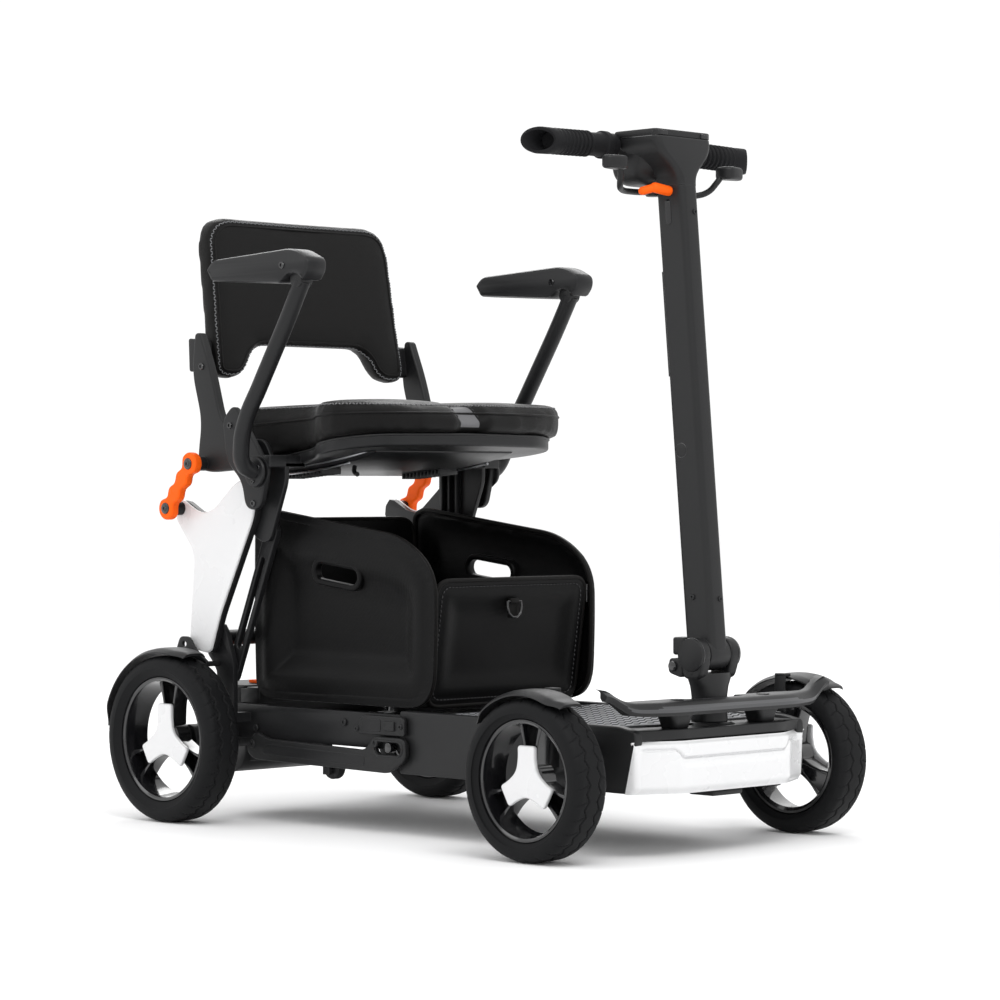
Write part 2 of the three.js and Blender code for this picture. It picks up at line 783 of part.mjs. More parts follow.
const bracket = cut(
  join(
    sidePlate(innerPlate, LAYER.inner),
    sidePlate(outerPlate, LAYER.outer),
    block([at(-578), at(-500)], [146, LAYER.inner[1]], [458, 464]),
    block([at(-514), at(-500)], [146, LAYER.outer[1]], [458, 474]),
    pin(BACKREST_PIVOT, [LAYER.inner[0], LAYER.outer[1]], 8),
    pin(LEG_HEAD, [LAYER.inner[0], LAYER.leg[1]], 9),
    pin(STRUT_HEAD, [LAYER.strut[0] - 2, LAYER.inner[1]]),
  ),
  pinHole(ARM_PIVOT, [195, 207]),
);
add("seat_frame", join(pan, mirror(bracket)), DARK_PAINT);

const cushionSide = sidePlate(
  outline([
    [at(-628), cushionBottom(-628), 10], [at(-342), cushionBottom(-342), 8],
    [at(-336), 522, 12], [at(-366), 543, 14], [at(-628), 536, 20],
  ]),
  [-205, 205],
);
const cushionPlan = flatPlate(
  outline([
    [at(-628), -150, 20], [at(-600), -160, 12], [at(-464), -160, 12], [at(-428), -200, 14],
    [at(-385), -201, 12], [at(-350), -150, 30], [at(-336), 0, 80], [at(-350), 150, 30],
    [at(-385), 201, 12], [at(-428), 200, 14], [at(-464), 160, 12], [at(-600), 160, 12],
    [at(-628), 150, 20],
  ]),
  [440, 560],
);
add("seat_cushion", cushionSide.intersect(cushionPlan), UPHOLSTERY);

// ---------- backrest ----------
// Leans a piece that was drawn upright back with the backrest, hinged at a height of 620.
const lean = (body) => {
  const shear = new THREE.Matrix4().set(
    1, 0, -BACK_LEAN, BACK_LEAN * 620, 0, 1, 0, 0, 0, 0, 1, 0, 0, 0, 0, 1,
  );
  return solid(geometryOf(body).applyMatrix4(shear));
};
const padOutline = outline([
  [-168, 576, 22], [-118, 576, 18], [-96, 618, 24], [96, 618, 24], [118, 576, 18],
  [168, 576, 22], [160, 789, 42], [-160, 789, 42],
]);
add("backrest_pad", lean(frontPlate(padOutline, [at(-680), at(-650)], 4)), UPHOLSTERY);

const armOutline = outline([
  [at(-541), 473, 12], [at(-561), 456, 12], [at(-630), 452, 6], [at(-657), 456, 10],
  [at(-656), 480, 8], [at(-645), 500, 10], [at(-655), 572, 16], [at(-646), 612, 8],
  [at(-615), 606, 8], [at(-596), 548, 14], [at(-570), 496, 12],
]);
const backArm = join(
  cut(sidePlate(armOutline, LAYER.backArm), pinHole(BACKREST_PIVOT, [180, 196], 8)),
  pin(LINK_UPPER, [LAYER.backArm[1] - 4, LAYER.link[0] - 0.6], 9),
  sidePlate(
    outline([[at(-687), 590], [at(-630), 590], [at(-624), 606, 4], [at(-689), 612]]),
    [171, 184],
  ),
);
const backPlate = lean(frontPlate(
  outline([[-183, 592], [-128, 592], [-108, 628, 10], [108, 628, 10], [128, 592], [183, 592],
    [183, 610], [140, 616], [136, 764, 30], [-136, 764, 30], [-140, 616], [-183, 610]]),
  [at(-689), at(-680.6)],
));
add("backrest_frame", join(mirror(backArm), backPlate), CHARCOAL);

// ---------- armrests ----------
addBoth(
  "armrest_tube",
  join(
    tube(
      [
        [at(-404), ARM_Y, 678], [at(-451), ARM_Y, 604], [at(-506), ARM_Y, 518],
        [at(-521), ARM_Y - 4, 478], [at(-525), ARM_Y - 16, 456], [at(-524), 209, 452],
      ],
      10.5,
      10,
      8,
    ),
    pin(ARM_PIVOT, [207, 213], 19),
    pin(ARM_PIVOT, [199, 208], PIN_RADIUS),
    block([at(-430), at(-388)], [ARM_Y - 12, ARM_Y + 12], [674, 686]),
  ),
  DARK_PAINT,
);
addBoth(
  "armrest_pad",
  sidePlate(
    outline([
      [at(-562), 709, 4], [at(-553), 694, 6], [at(-440), 686.6, 10], [at(-392), 686.6, 6],
      [at(-376), 700, 6], [at(-376), 717, 6], [at(-402), 729, 10], [at(-550), 721, 6],
    ]),
    [ARM_Y - 17, ARM_Y + 17],
    3,
  ),
  CHARCOAL,
);

// ---------- cargo bag ----------
// The lower tub stands on the chassis, and the soft collar above it gives way to the folding seat.
const bagOutline = (inset) =>
  outline([
    [at(-602 + inset), BAG.bottom + inset], [at(-266 - inset), BAG.bottom + inset, 6],
    [at(-262 - inset), 318, 20], [at(-318), 372, 20], [at(-575), 406, 8],
    [at(-602 + inset), 404, 8],
  ]);
const bagBody = cut(
  sidePlate(bagOutline(0), [-BAG.halfWidth, BAG.halfWidth]),
  block(
    [at(-602 + BAG.wall), at(-266 - BAG.wall)],
    [-BAG.halfWidth + BAG.wall, BAG.halfWidth - BAG.wall],
    [BAG.bottom + BAG.wall, 450],
  ),
);
const handleSlot = sidePlate(
  barOutline({ station: -474, height: 326 }, { station: -416, height: 318 }, 20),
  [-160, 160],
);
const slice = (z) => block([at(-620), at(-240)], [-160, 160], z);
add("cargo_tub", bagBody.intersect(slice([100, BAG.tubTop])), BAG_CLOTH);
add(
  "cargo_collar",
  cut(bagBody.intersect(slice([BAG.tubTop + GAP, 450])), handleSlot),
  BAG_CLOTH,
);

export default scooter;
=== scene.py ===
# %% [markdown]
# # A folding mobility scooter
# The moving frame comes in first, and every visible piece is built around it and rides on one
# of its bodies. Lengths in this file are in millimetres, because a workshop thinks in them, and
# each helper turns them into metres at the last moment.

# %% Load the frame
import math

import bmesh
import bpy
from mathutils import Matrix, Vector
from mathutils.bvhtree import BVHTree


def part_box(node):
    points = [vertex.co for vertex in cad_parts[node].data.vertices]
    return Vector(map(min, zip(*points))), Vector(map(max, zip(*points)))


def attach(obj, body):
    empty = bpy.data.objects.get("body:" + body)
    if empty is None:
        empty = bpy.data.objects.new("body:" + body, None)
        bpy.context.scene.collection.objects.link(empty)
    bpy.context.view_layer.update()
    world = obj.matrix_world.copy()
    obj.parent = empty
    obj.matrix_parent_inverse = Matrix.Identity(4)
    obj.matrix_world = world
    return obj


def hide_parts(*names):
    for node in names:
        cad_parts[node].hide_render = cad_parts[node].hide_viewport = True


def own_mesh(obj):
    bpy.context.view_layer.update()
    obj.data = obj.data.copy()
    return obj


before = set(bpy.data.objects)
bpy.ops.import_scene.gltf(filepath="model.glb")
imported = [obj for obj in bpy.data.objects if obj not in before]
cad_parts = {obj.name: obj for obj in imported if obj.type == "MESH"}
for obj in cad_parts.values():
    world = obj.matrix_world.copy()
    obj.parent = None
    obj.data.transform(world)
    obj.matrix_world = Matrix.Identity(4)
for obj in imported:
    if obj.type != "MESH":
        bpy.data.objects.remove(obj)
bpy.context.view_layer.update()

# %% [markdown]
# ## Stations
# A vehicle is measured from its front axle. The tyre's box gives the axle's place, so a station
# is a distance ahead of it, and a negative one lies behind it.

# %% Where things are
MM = 0.001
low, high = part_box("tyre_front_left")
AXLE_X = (low.x + high.x) / 2 / MM
SIDES = {"left": 1, "right": -1}


def at(station):
    return AXLE_X + station


def metres(x, y, z):
    return Vector((x, y, z)) * MM


print("front axle at", round(AXLE_X, 1), "mm")

# %% [markdown]
# ## Studio
# A long lens from far away keeps the scooter's uprights nearly parallel. A flat pale floor under
# an evenly lit white sky leaves no horizon to see, and three large soft lamps give long, gentle
# highlights on dark plastic.

# %% Camera, floor and lamps
CAMERA_AT = (at(2641.4), -2932.9, 435.4)
CAMERA_AIM = (at(-292.9), 0.0, 416.5)
LENS_MM = 117.8

camera = bpy.data.objects.new("camera", bpy.data.cameras.new("camera"))
bpy.context.collection.objects.link(camera)
camera.data.lens = LENS_MM
camera.data.sensor_width = 36.0
camera.data.clip_end = 60.0
camera.location = metres(*CAMERA_AT)
aim = metres(*CAMERA_AIM) - camera.location
camera.rotation_euler = aim.to_track_quat("-Z", "Y").to_euler()
bpy.context.scene.camera = camera

FLOOR_REACH = 30.0


def studio_material(name, color, rough):
    material = bpy.data.materials.new(name)
    material.use_nodes = True
    shader = material.node_tree.nodes["Principled BSDF"]
    shader.inputs["Base Color"].default_value = (*color, 1)
    shader.inputs["Roughness"].default_value = rough
    return material


def add_floor():
    mesh = bpy.data.meshes.new("studio_floor")
    corners = [(-FLOOR_REACH, -FLOOR_REACH), (FLOOR_REACH, -FLOOR_REACH),
               (FLOOR_REACH, FLOOR_REACH), (-FLOOR_REACH, FLOOR_REACH)]
    mesh.from_pydata([(x, y, 0.0) for x, y in corners], [], [(0, 1, 2, 3)])
    floor = bpy.data.objects.new("studio_floor", mesh)
    bpy.context.collection.objects.link(floor)
    mesh.materials.append(studio_material("pale_floor", (0.955, 0.955, 0.958), 0.95))


def add_lamp(name, place, target, size, watts):
    light = bpy.data.lights.new(name, "AREA")
    light.shape = "RECTANGLE"
    light.size, light.size_y = size
    light.energy = watts
    lamp = bpy.data.objects.new(name, light)
    bpy.context.collection.objects.link(lamp)
    lamp.location = place
    lamp.rotation_euler = (Vector(target) - lamp.location).to_track_quat("-Z", "Y").to_euler()


add_floor()
add_lamp("key_lamp", (2.0, -0.9, 3.0), (0, 0, 0.35), (2.0, 1.4), 42)
add_lamp("side_lamp", (-1.6, -3.0, 2.2), (0, 0, 0.4), (1.6, 2.0), 16)
add_lamp("rear_lamp", (-2.2, 2.2, 2.6), (0, 0, 0.5), (2.0, 1.4), 34)
world = bpy.data.worlds.new("studio")
bpy.context.scene.world = world
world.use_nodes = True
world.node_tree.nodes["Background"].inputs["Color"].default_value = (1.0, 1.0, 1.0, 1)
world.node_tree.nodes["Background"].inputs["Strength"].default_value = 1.06
bpy.context.scene.view_settings.view_transform = "Standard"
print("lens", LENS_MM, "mm")

# %% [markdown]
# ## Shared effects
# Moulded plastic is never one flat value. A fine grain breaks up its highlight, a slow mottle
# varies its tone by a few per cent, and edges that hands and shoes touch go a little lighter.
# Each effect is a node group with its own inputs, built once and placed in each finish.

# %% Node-group tools
def new_group(name, inputs, outputs):
    group = bpy.data.node_groups.new(name, "ShaderNodeTree")
    for label, kind, value in inputs:
        socket = group.interface.new_socket(label, in_out="INPUT", socket_type=kind)
        if value is not None:
            socket.default_value = value
    for label, kind in outputs:
        group.interface.new_socket(label, in_out="OUTPUT", socket_type=kind)
    return group, group.nodes.new("NodeGroupInput"), group.nodes.new("NodeGroupOutput")


def add_node(tree, kind, inputs=None, **settings):
    made = tree.nodes.new(kind)
    for key, value in settings.items():
        setattr(made, key, value)
    for key, value in (inputs or {}).items():
        if isinstance(value, bpy.types.NodeSocket):
            tree.links.new(value, made.inputs[key])
        else:
            made.inputs[key].default_value = value
    return made


def math_node(tree, operation, a, b=0.0, c=0.0):
    return add_node(tree, "ShaderNodeMath", {0: a, 1: b, 2: c}, operation=operation).outputs[0]


# %% Grain, mottle and worn edges
FLOAT, COLOR, VECTOR = "NodeSocketFloat", "NodeSocketColor", "NodeSocketVector"


def make_surface_group():
    """Tone, roughness and a normal for moulded, painted or rubber surfaces."""
    group, inp, out = new_group(
        "surface_variation",
        [("Color", COLOR, (0.05, 0.05, 0.05, 1)), ("Roughness", FLOAT, 0.5),
         ("Grain Scale", FLOAT, 900.0), ("Grain Height", FLOAT, 0.1),
         ("Mottle", FLOAT, 0.1), ("Edge Wear", FLOAT, 0.2), ("Edge Width", FLOAT, 0.003)],
        [("Color", COLOR), ("Roughness", FLOAT), ("Normal", VECTOR)],
    )
    place = add_node(group, "ShaderNodeTexCoord").outputs["Object"]
    grain = add_node(group, "ShaderNodeTexNoise",
                     {"Vector": place, "Scale": inp.outputs["Grain Scale"], "Detail": 2.0})
    mottle = add_node(group, "ShaderNodeTexNoise", {"Vector": place, "Scale": 14.0, "Detail": 4.0})
    swing = math_node(group, "SUBTRACT", mottle.outputs["Fac"], 0.5)
    tone = math_node(group, "MULTIPLY_ADD", swing, inp.outputs["Mottle"], 1.0)
    toned = add_node(group, "ShaderNodeVectorMath",
                     {0: inp.outputs["Color"], "Scale": tone}, operation="SCALE")
    rim = add_node(group, "ShaderNodeBevel", {"Radius": inp.outputs["Edge Width"]}, samples=4)
    flat = add_node(group, "ShaderNodeNewGeometry")
    turn = add_node(group, "ShaderNodeVectorMath",
                    {0: rim.outputs[0], 1: flat.outputs["Normal"]}, operation="DOT_PRODUCT")
    bend = math_node(group, "SUBTRACT", 1.0, turn.outputs["Value"])
    edge = add_node(group, "ShaderNodeMapRange", {"Value": bend, 1: 0.02, 2: 0.25})
    worn = math_node(group, "MULTIPLY", edge.outputs[0], inp.outputs["Edge Wear"])
    mixed = add_node(group, "ShaderNodeMix",
                     {0: worn, 6: toned.outputs[0], 7: (0.32, 0.32, 0.33, 1)}, data_type="RGBA")
    rough = math_node(group, "MULTIPLY_ADD", swing, 0.16, inp.outputs["Roughness"])
    bump = add_node(group, "ShaderNodeBump",
                    {"Height": grain.outputs["Fac"], "Strength": inp.outputs["Grain Height"],
                     "Distance": 0.0004})
    group.links.new(mixed.outputs[2], out.inputs["Color"])
    group.links.new(rough, out.inputs["Roughness"])
    group.links.new(bump.outputs[0], out.inputs["Normal"])
    return group


SURFACE = make_surface_group()


def surfaced(name, color, rough, grain=900.0, height=0.12, mottle=0.2, wear=0.1, **shader_values):
    """A finish made from the shared surface group."""
    material = bpy.data.materials.new(name)
    material.use_nodes = True
    tree = material.node_tree
    shader = tree.nodes["Principled BSDF"]
    group = add_node(tree, "ShaderNodeGroup", node_tree=SURFACE)
    values = {"Color": (*color, 1), "Roughness": rough, "Grain Scale": grain,
              "Grain Height": height, "Mottle": mottle, "Edge Wear": wear}
    for key, value in values.items():
        group.inputs[key].default_value = value
    tree.links.new(group.outputs["Color"], shader.inputs["Base Color"])
    tree.links.new(group.outputs["Roughness"], shader.inputs["Roughness"])
    tree.links.new(group.outputs["Normal"], shader.inputs["Normal"])
    for key, value in shader_values.items():
        shader.inputs[key.replace("_", " ")].default_value = value
    return material


# %% [markdown]
# ## Finishes
# The scooter has ten: charcoal plastic, satin paint, tyre rubber, a glossy rim black, a glossy
# white, a stippled orange, a ribbed mat, leathercloth, the bag's textile and bright steel.

# %% Hard finishes
CHARCOAL = surfaced("charcoal_plastic", (0.0098, 0.01, 0.0106), 0.44, 1500, 0.25, wear=0.04,
                    Specular_IOR_Level=0.3)
DARK_PAINT = surfaced("satin_paint", (0.009, 0.0092, 0.01), 0.42, 2200, 0.1, wear=0.05,
                      Specular_IOR_Level=0.28)
TYRE = surfaced("tyre_rubber", (0.006, 0.0062, 0.0068), 0.6, 700, 0.2, mottle=0.3, wear=0.0,
                Specular_IOR_Level=0.14)
RIM_BLACK = surfaced("rim_gloss_black", (0.006, 0.006, 0.007), 0.18, 300, 0.0, mottle=0.1,
                     wear=0.0, Coat_Weight=0.6, Coat_Roughness=0.06)
WHITE = surfaced("white_gloss", (0.72, 0.722, 0.728), 0.28, 500, 0.02, mottle=0.0, wear=0.0,
                 Coat_Weight=0.4, Coat_Roughness=0.1)
ORANGE = surfaced("orange_stipple", (0.95, 0.115, 0.004), 0.55, 1300, 0.7, mottle=0.12, wear=0.0,
                  Specular_IOR_Level=0.15)
GRIP = surfaced("grip_rubber", (0.0085, 0.0085, 0.0095), 0.65, 1800, 0.4, wear=0.0,
                Specular_IOR_Level=0.14)
STEEL = surfaced("bright_steel", (0.55, 0.56, 0.58), 0.3, 800, 0.05, wear=0.0, Metallic=1.0)
BEVEL_GREY = surfaced("grey_strip", (0.16, 0.163, 0.17), 0.45, 900, 0.1, wear=0.0)
MAT_GREY = surfaced("mat_grey", (0.22, 0.225, 0.235), 0.75, 1200, 0.4, mottle=0.25, wear=0.0)
GLASSY_BLACK = surfaced("display_black", (0.006, 0.006, 0.007), 0.12, 300, 0.0, wear=0.0)
print("hard finishes made")

# %% [markdown]
# Leathercloth has a pebbled grain with creases between the pebbles, which is what a Voronoi
# pattern's cells look like, and the bag's textile shows a fine diagonal weave, which two crossed
# wave patterns make. Both read the object's own coordinates, so they don't stretch.

# %% Soft finishes
def embossed(material, height, depth, sheen_rough, specular):
    """Presses a pattern into a fabric's normal and gives the fabric a faint sheen."""
    tree = material.node_tree
    shader = tree.nodes["Principled BSDF"]
    first = shader.inputs["Normal"].links[0].from_socket
    bump = add_node(tree, "ShaderNodeBump", {"Height": height, "Strength": 0.35,
                                             "Distance": depth, "Normal": first})
    tree.links.new(bump.outputs[0], shader.inputs["Normal"])
    shader.inputs["Sheen Weight"].default_value = 0.02
    shader.inputs["Sheen Roughness"].default_value = sheen_rough
    shader.inputs["Specular IOR Level"].default_value = specular
    return material


def leathercloth(name, color, rough):
    material = surfaced(name, color, rough, 1400, 0.2, mottle=0.25, wear=0.0)
    tree = material.node_tree
    place = add_node(tree, "ShaderNodeTexCoord").outputs["Object"]
    pebbles = add_node(tree, "ShaderNodeTexVoronoi", {"Vector": place, "Scale": 700.0},
                       feature="DISTANCE_TO_EDGE")
    crease = add_node(tree, "ShaderNodeMapRange", {"Value": pebbles.outputs[0], 1: 0.0, 2: 0.2})
    return embossed(material, crease.outputs[0], 0.0003, 0.5, 0.13)


def woven(name, color, rough, threads):
    material = surfaced(name, color, rough, 900, 0.1, mottle=0.3, wear=0.0)
    tree = material.node_tree
    place = add_node(tree, "ShaderNodeTexCoord").outputs["Object"]
    height = None
    for turn in (0.8, -0.8):
        spun = add_node(tree, "ShaderNodeMapping", {"Vector": place,
                                                    "Rotation": (turn, turn, turn)})
        wave = add_node(tree, "ShaderNodeTexWave", {"Vector": spun.outputs[0], "Scale": threads,
                                                    "Distortion": 0.4})
        fac = wave.outputs["Fac"]
        height = fac if height is None else math_node(tree, "MAXIMUM", height, fac)
    return embossed(material, height, 0.0004, 0.4, 0.12)


UPHOLSTERY = leathercloth("black_leathercloth", (0.0042, 0.004, 0.004), 0.42)
SEAT_BAND = leathercloth("grey_centre_band", (0.15, 0.15, 0.155), 0.6)
BAG_CLOTH = woven("bag_textile", (0.0016, 0.0016, 0.0018), 0.4, 260)
BAG_TAPE = woven("bag_binding_tape", (0.0042, 0.0038, 0.0036), 0.5, 500)
THREAD = surfaced("pale_thread", (0.2, 0.2, 0.205), 0.7, 2000, 0.2, wear=0.0)
DARK_THREAD = surfaced("dark_thread", (0.03, 0.03, 0.032), 0.6, 2000, 0.2, wear=0.0)
print("soft finishes made")

# %% [markdown]
# ## Bench tools
# Almost every hard piece of the scooter is a thick outline with soft edges: a plate, a cover, a
# casting. A filled 2-D curve with a bevel makes exactly that, holes included, and a rounded
# outline needs only its corner points and their radii. The rest are sweeps, lofts and turnings.

# %% Outlines
CORNER_STEPS = 7


def outline(points, steps=CORNER_STEPS):
    """A closed polygon whose corners [across, up, radius] are rounded."""
    made = []
    for i, (u, v, *radius) in enumerate(points):
        here = Vector((u, v))
        if not radius:
            made.append(here)
            continue
        before = Vector(points[i - 1][:2]) - here
        after = Vector(points[(i + 1) % len(points)][:2]) - here
        reach = min(radius[0], 0.49 * before.length, 0.49 * after.length)
        start = here + before.normalized() * reach
        end = here + after.normalized() * reach
        for k in range(steps + 1):
            t = k / steps
            made.append(start * (1 - t) ** 2 + here * 2 * t * (1 - t) + end * t * t)
    return made


def profile(points, steps=CORNER_STEPS):
    """The same, for corners that are given by station."""
    return outline([(at(x), *rest) for x, *rest in points], steps)


def inset_outline(shape, inset):
    """The outline moved inward all round, by the same amount."""
    moved = []
    for i, point in enumerate(shape):
        along = (shape[(i + 1) % len(shape)] - shape[i - 1]).normalized()
        moved.append(point + Vector((-along.y, along.x)) * inset)
    return moved


def circle(centre, radius, steps=32):
    turn = 2 * math.pi / steps
    return [Vector((centre[0] + radius * math.cos(k * turn),
                    centre[1] + radius * math.sin(k * turn))) for k in range(steps)]


def stadium(a, b, width, steps=14):
    """The outline of a bar with round ends between two points."""
    a, b = Vector(a), Vector(b)
    heading = math.atan2(b.y - a.y, b.x - a.x)
    made = []
    for centre, first in ((a, 0.5 * math.pi), (b, -0.5 * math.pi)):
        for k in range(steps + 1):
            angle = heading + first + math.pi * k / steps
            made.append(centre + Vector((math.cos(angle), math.sin(angle))) * width / 2)
    return made


# %% Turning a curve or a bmesh into a piece
PLANES = {  # how an outline's (across, up, through) become X, Y, Z
    "side": Matrix(((1, 0, 0), (0, 0, -1), (0, 1, 0))),
    "plan": Matrix(((1, 0, 0), (0, 1, 0), (0, 0, 1))),
    "front": Matrix(((0, 0, 1), (1, 0, 0), (0, 1, 0))),
}
SMOOTH_ANGLE = math.radians(34)


def mesh_of(obj):
    """The finished mesh of an object, with its modifiers applied and the object removed."""
    graph = bpy.context.evaluated_depsgraph_get()
    mesh = bpy.data.meshes.new_from_object(obj.evaluated_get(graph))
    mesh.transform(obj.matrix_world)
    data = obj.data
    bpy.data.objects.remove(obj)
    if isinstance(data, bpy.types.Curve):
        bpy.data.curves.remove(data)
    return mesh


def linked(name, data):
    obj = bpy.data.objects.new(name, data)
    bpy.context.collection.objects.link(obj)
    return obj


def tidy_mesh(mesh, merge=0.00001):
    """Merges doubled points, turns faces outward and shades all but the sharp edges smooth."""
    work = bmesh.new()
    work.from_mesh(mesh)
    bmesh.ops.remove_doubles(work, verts=work.verts, dist=merge)
    bmesh.ops.recalc_face_normals(work, faces=work.faces)
    work.to_mesh(mesh)
    work.free()
    mesh.polygons.foreach_set("use_smooth", [True] * len(mesh.polygons))
    mesh.set_sharp_from_angle(angle=SMOOTH_ANGLE)
    return mesh


def flat_curve(name, outlines):
    """A filled 2-D curve; outlines after the first are holes in it."""
    curve = bpy.data.curves.new(name, "CURVE")
    curve.dimensions = "2D"
    curve.fill_mode = "BOTH"
    for points in outlines:
        spline = curve.splines.new("POLY")
        spline.points.add(len(points) - 1)
        for point, (u, v) in zip(spline.points, points):
            point.co = (u * MM, v * MM, 0, 1)
        spline.use_cyclic_u = True
    return curve


def plate(outlines, plane, span, edge=1.2, edge_steps=3):
    """A thick outline with soft edges, standing between two depths."""
    low_end, high_end = sorted(span)
    edge = min(edge, 0.49 * (high_end - low_end))
    curve = flat_curve("plate", outlines)
    curve.offset = -edge * MM
    curve.bevel_depth = edge * MM
    curve.bevel_resolution = edge_steps
    curve.extrude = ((high_end - low_end) / 2 - edge) * MM
    mesh = mesh_of(linked("plate", curve))
    middle = (low_end + high_end) / 2 * MM
    depth = -middle if plane == "side" else middle
    mesh.transform(Matrix.Translation((0, 0, depth)))
    mesh.transform(PLANES[plane].to_4x4())
    return tidy_mesh(mesh)


def tube(points, radius, smooth=True, sides=6, ring=12):
    """A round bar along a path."""
    curve = bpy.data.curves.new("tube", "CURVE")
    curve.dimensions = "3D"
    curve.bevel_depth = radius * MM
    curve.bevel_resolution = sides
    curve.use_fill_caps = True
    curve.resolution_u = ring
    spline = curve.splines.new("BEZIER" if smooth else "POLY")
    target = spline.bezier_points if smooth else spline.points
    target.add(len(points) - 1)
    for point, place in zip(target, points):
        if smooth:
            point.co = metres(*place)
            point.handle_left_type = point.handle_right_type = "AUTO"
        else:
            point.co = (*metres(*place), 1)
    return tidy_mesh(mesh_of(linked("tube", curve)))


def ring_faces(rings, count, closed=False):
    """Four-sided faces between rings of count points; closed joins the last ring to the first."""
    faces = []
    for k in range(rings if closed else rings - 1):
        near, far = k * count, (k + 1) % rings * count
        for i in range(count):
            j = (i + 1) % count
            faces.append((near + i, near + j, far + j, far + i))
    return faces


def turned(section, axis_point, axis="y", steps=96):
    """A solid of revolution: the closed section's points are [radius, along the axis]."""
    mesh = bpy.data.meshes.new("turned")
    count = len(section)
    spots = []
    for k in range(steps):
        c, s = math.cos(2 * math.pi * k / steps), math.sin(2 * math.pi * k / steps)
        for r, along in section:
            local = {"y": (r * c, along, r * s), "x": (along, r * c, r * s),
                     "z": (r * c, r * s, along)}[axis]
            spots.append(metres(*local) + metres(*axis_point))
    mesh.from_pydata(spots, [], ring_faces(steps, count, True))
    return tidy_mesh(mesh, 0.000001)


def knob(axis, radius, span, centre, edge=1.0, steps=40):
    """A round boss or pin with a softened rim; centre gives its other two coordinates."""
    a, b = span
    section = [(0.001, a), (radius - edge, a), (radius - 0.3 * edge, a + 0.3 * edge),
               (radius, a + edge), (radius, b - edge), (radius - 0.3 * edge, b - 0.3 * edge),
               (radius - edge, b), (0.001, b)]
    point = {"x": (0, *centre), "y": (centre[0], 0, centre[1]), "z": (*centre, 0)}[axis]
    return turned(section, point, axis, steps)


def lofted(rings):
    """A closed skin over rings of equal length, each a list of (x, y, z)."""
    mesh = bpy.data.meshes.new("loft")
    count = len(rings[0])
    spots = [metres(*p) for ring in rings for p in ring]
    faces = [tuple(reversed(range(count))), tuple(range(len(spots) - count, len(spots)))]
    mesh.from_pydata(spots, [], faces + ring_faces(len(rings), count))
    return tidy_mesh(mesh)


def softened(mesh, edge=1.0, subdivide=0, steps=3, angle=30):
    """The mesh with its sharp edges bevelled, and optionally subdivided."""
    obj = linked("soft", mesh)
    if edge:
        bevel = obj.modifiers.new("edge", "BEVEL")
        bevel.width = edge * MM
        bevel.segments = steps
        bevel.limit_method = "ANGLE"
        bevel.angle_limit = math.radians(angle)
        bevel.harden_normals = False
    if subdivide:
        smooth = obj.modifiers.new("smooth", "SUBSURF")
        smooth.levels = smooth.render_levels = subdivide
    return tidy_mesh(mesh_of(obj))


def level_ring(x, y, z, corner, steps=6):
    """A rounded rectangle in a level plane."""
    made = []
    corners = ((x[1], y[1], 0), (x[0], y[1], 1), (x[0], y[0], 2), (x[1], y[0], 3))
    for cx, cy, quarter in corners:
        inward_x = math.copysign(corner, sum(x) / 2 - cx)
        inward_y = math.copysign(corner, sum(y) / 2 - cy)
        for k in range(steps + 1):
            angle = (quarter + k / steps) * math.pi / 2
            made.append((cx + inward_x + corner * math.cos(angle),
                         cy + inward_y + corner * math.sin(angle), z))
    return made


def plain_box(x, y, z):
    """A box with sharp edges between pairs of limits."""
    mesh = bpy.data.meshes.new("block")
    work = bmesh.new()
    bmesh.ops.create_cube(work, size=1)
    for v in work.verts:
        v.co = metres(*[a + (b - a) * (c + 0.5) for (a, b), c in zip((x, y, z), v.co)])
    bmesh.ops.recalc_face_normals(work, faces=work.faces)
    work.to_mesh(mesh)
    work.free()
    return mesh


def block(stations, y, z, edge=1.0):
    """A box with soft edges between two stations."""
    return softened(plain_box([at(x) for x in stations], y, z), edge)


# %% Joining, mirroring and handing over a piece
def joined(meshes, materials=None):
    """Several meshes as one, each keeping the material of its place in the list."""
    work = bmesh.new()
    total = bpy.data.meshes.new("joined")
    used = []
    for i, mesh in enumerate(meshes):
        start = len(work.faces)
        work.from_mesh(mesh)
        work.faces.ensure_lookup_table()
        if materials:
            if materials[i] not in used:
                used.append(materials[i])
            for face in work.faces[start:]:
                face.material_index = used.index(materials[i])
    work.to_mesh(total)
    work.free()
    for material in used:
        total.materials.append(material)
    return total


def mirrored(mesh):
    """The same mesh on the other side of the scooter, facing out."""
    other = mesh.copy()
    other.transform(Matrix.Scale(-1, 4, (0, 1, 0)))
    other.flip_normals()
    return other


def piece(name, mesh, body, material=None, nodes=()):
    """Names a finished mesh and hands it to the body it rides on."""
    obj = linked(name, mesh)
    if material:
        mesh.materials.clear()
        mesh.materials.append(material)
    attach(obj, body)
    if nodes:
        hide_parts(*nodes)
    return obj


def both_sides(name, mesh, body, material=None, node=None):
    """A piece drawn for the left, and its mirror image on the right.
    A body or node name may hold {side}."""
    made = []
    for side, sign in SIDES.items():
        one = mesh if sign > 0 else mirrored(mesh)
        nodes = (node.format(side=side),) if node else ()
        made.append(piece(f"{name}_{side}", one, body.format(side=side), material, nodes))
    return made


print("bench tools ready")
# %% [markdown]
# ## Wheels
# A tread is a shape, not a picture: two zigzag grooves run round the tyre and short chevrons
# leave them towards each shoulder. The tyre is turned as a fine grid, and each point of its
# outer band moves in by the depth of the groove it lies in, so the blocks catch the light.

# %% Treaded tyres
TREAD_HALF = 27
GROOVE_DEPTH = 2.0
WHEELS = {
    "front": {"radius": 95.0, "rim": 71.0, "track": 236.0, "body": "front_wheel_{side}"},
    "rear": {"radius": 107.5, "rim": 80.0, "track": 237.0, "body": "rear_wheel_{side}"},
}


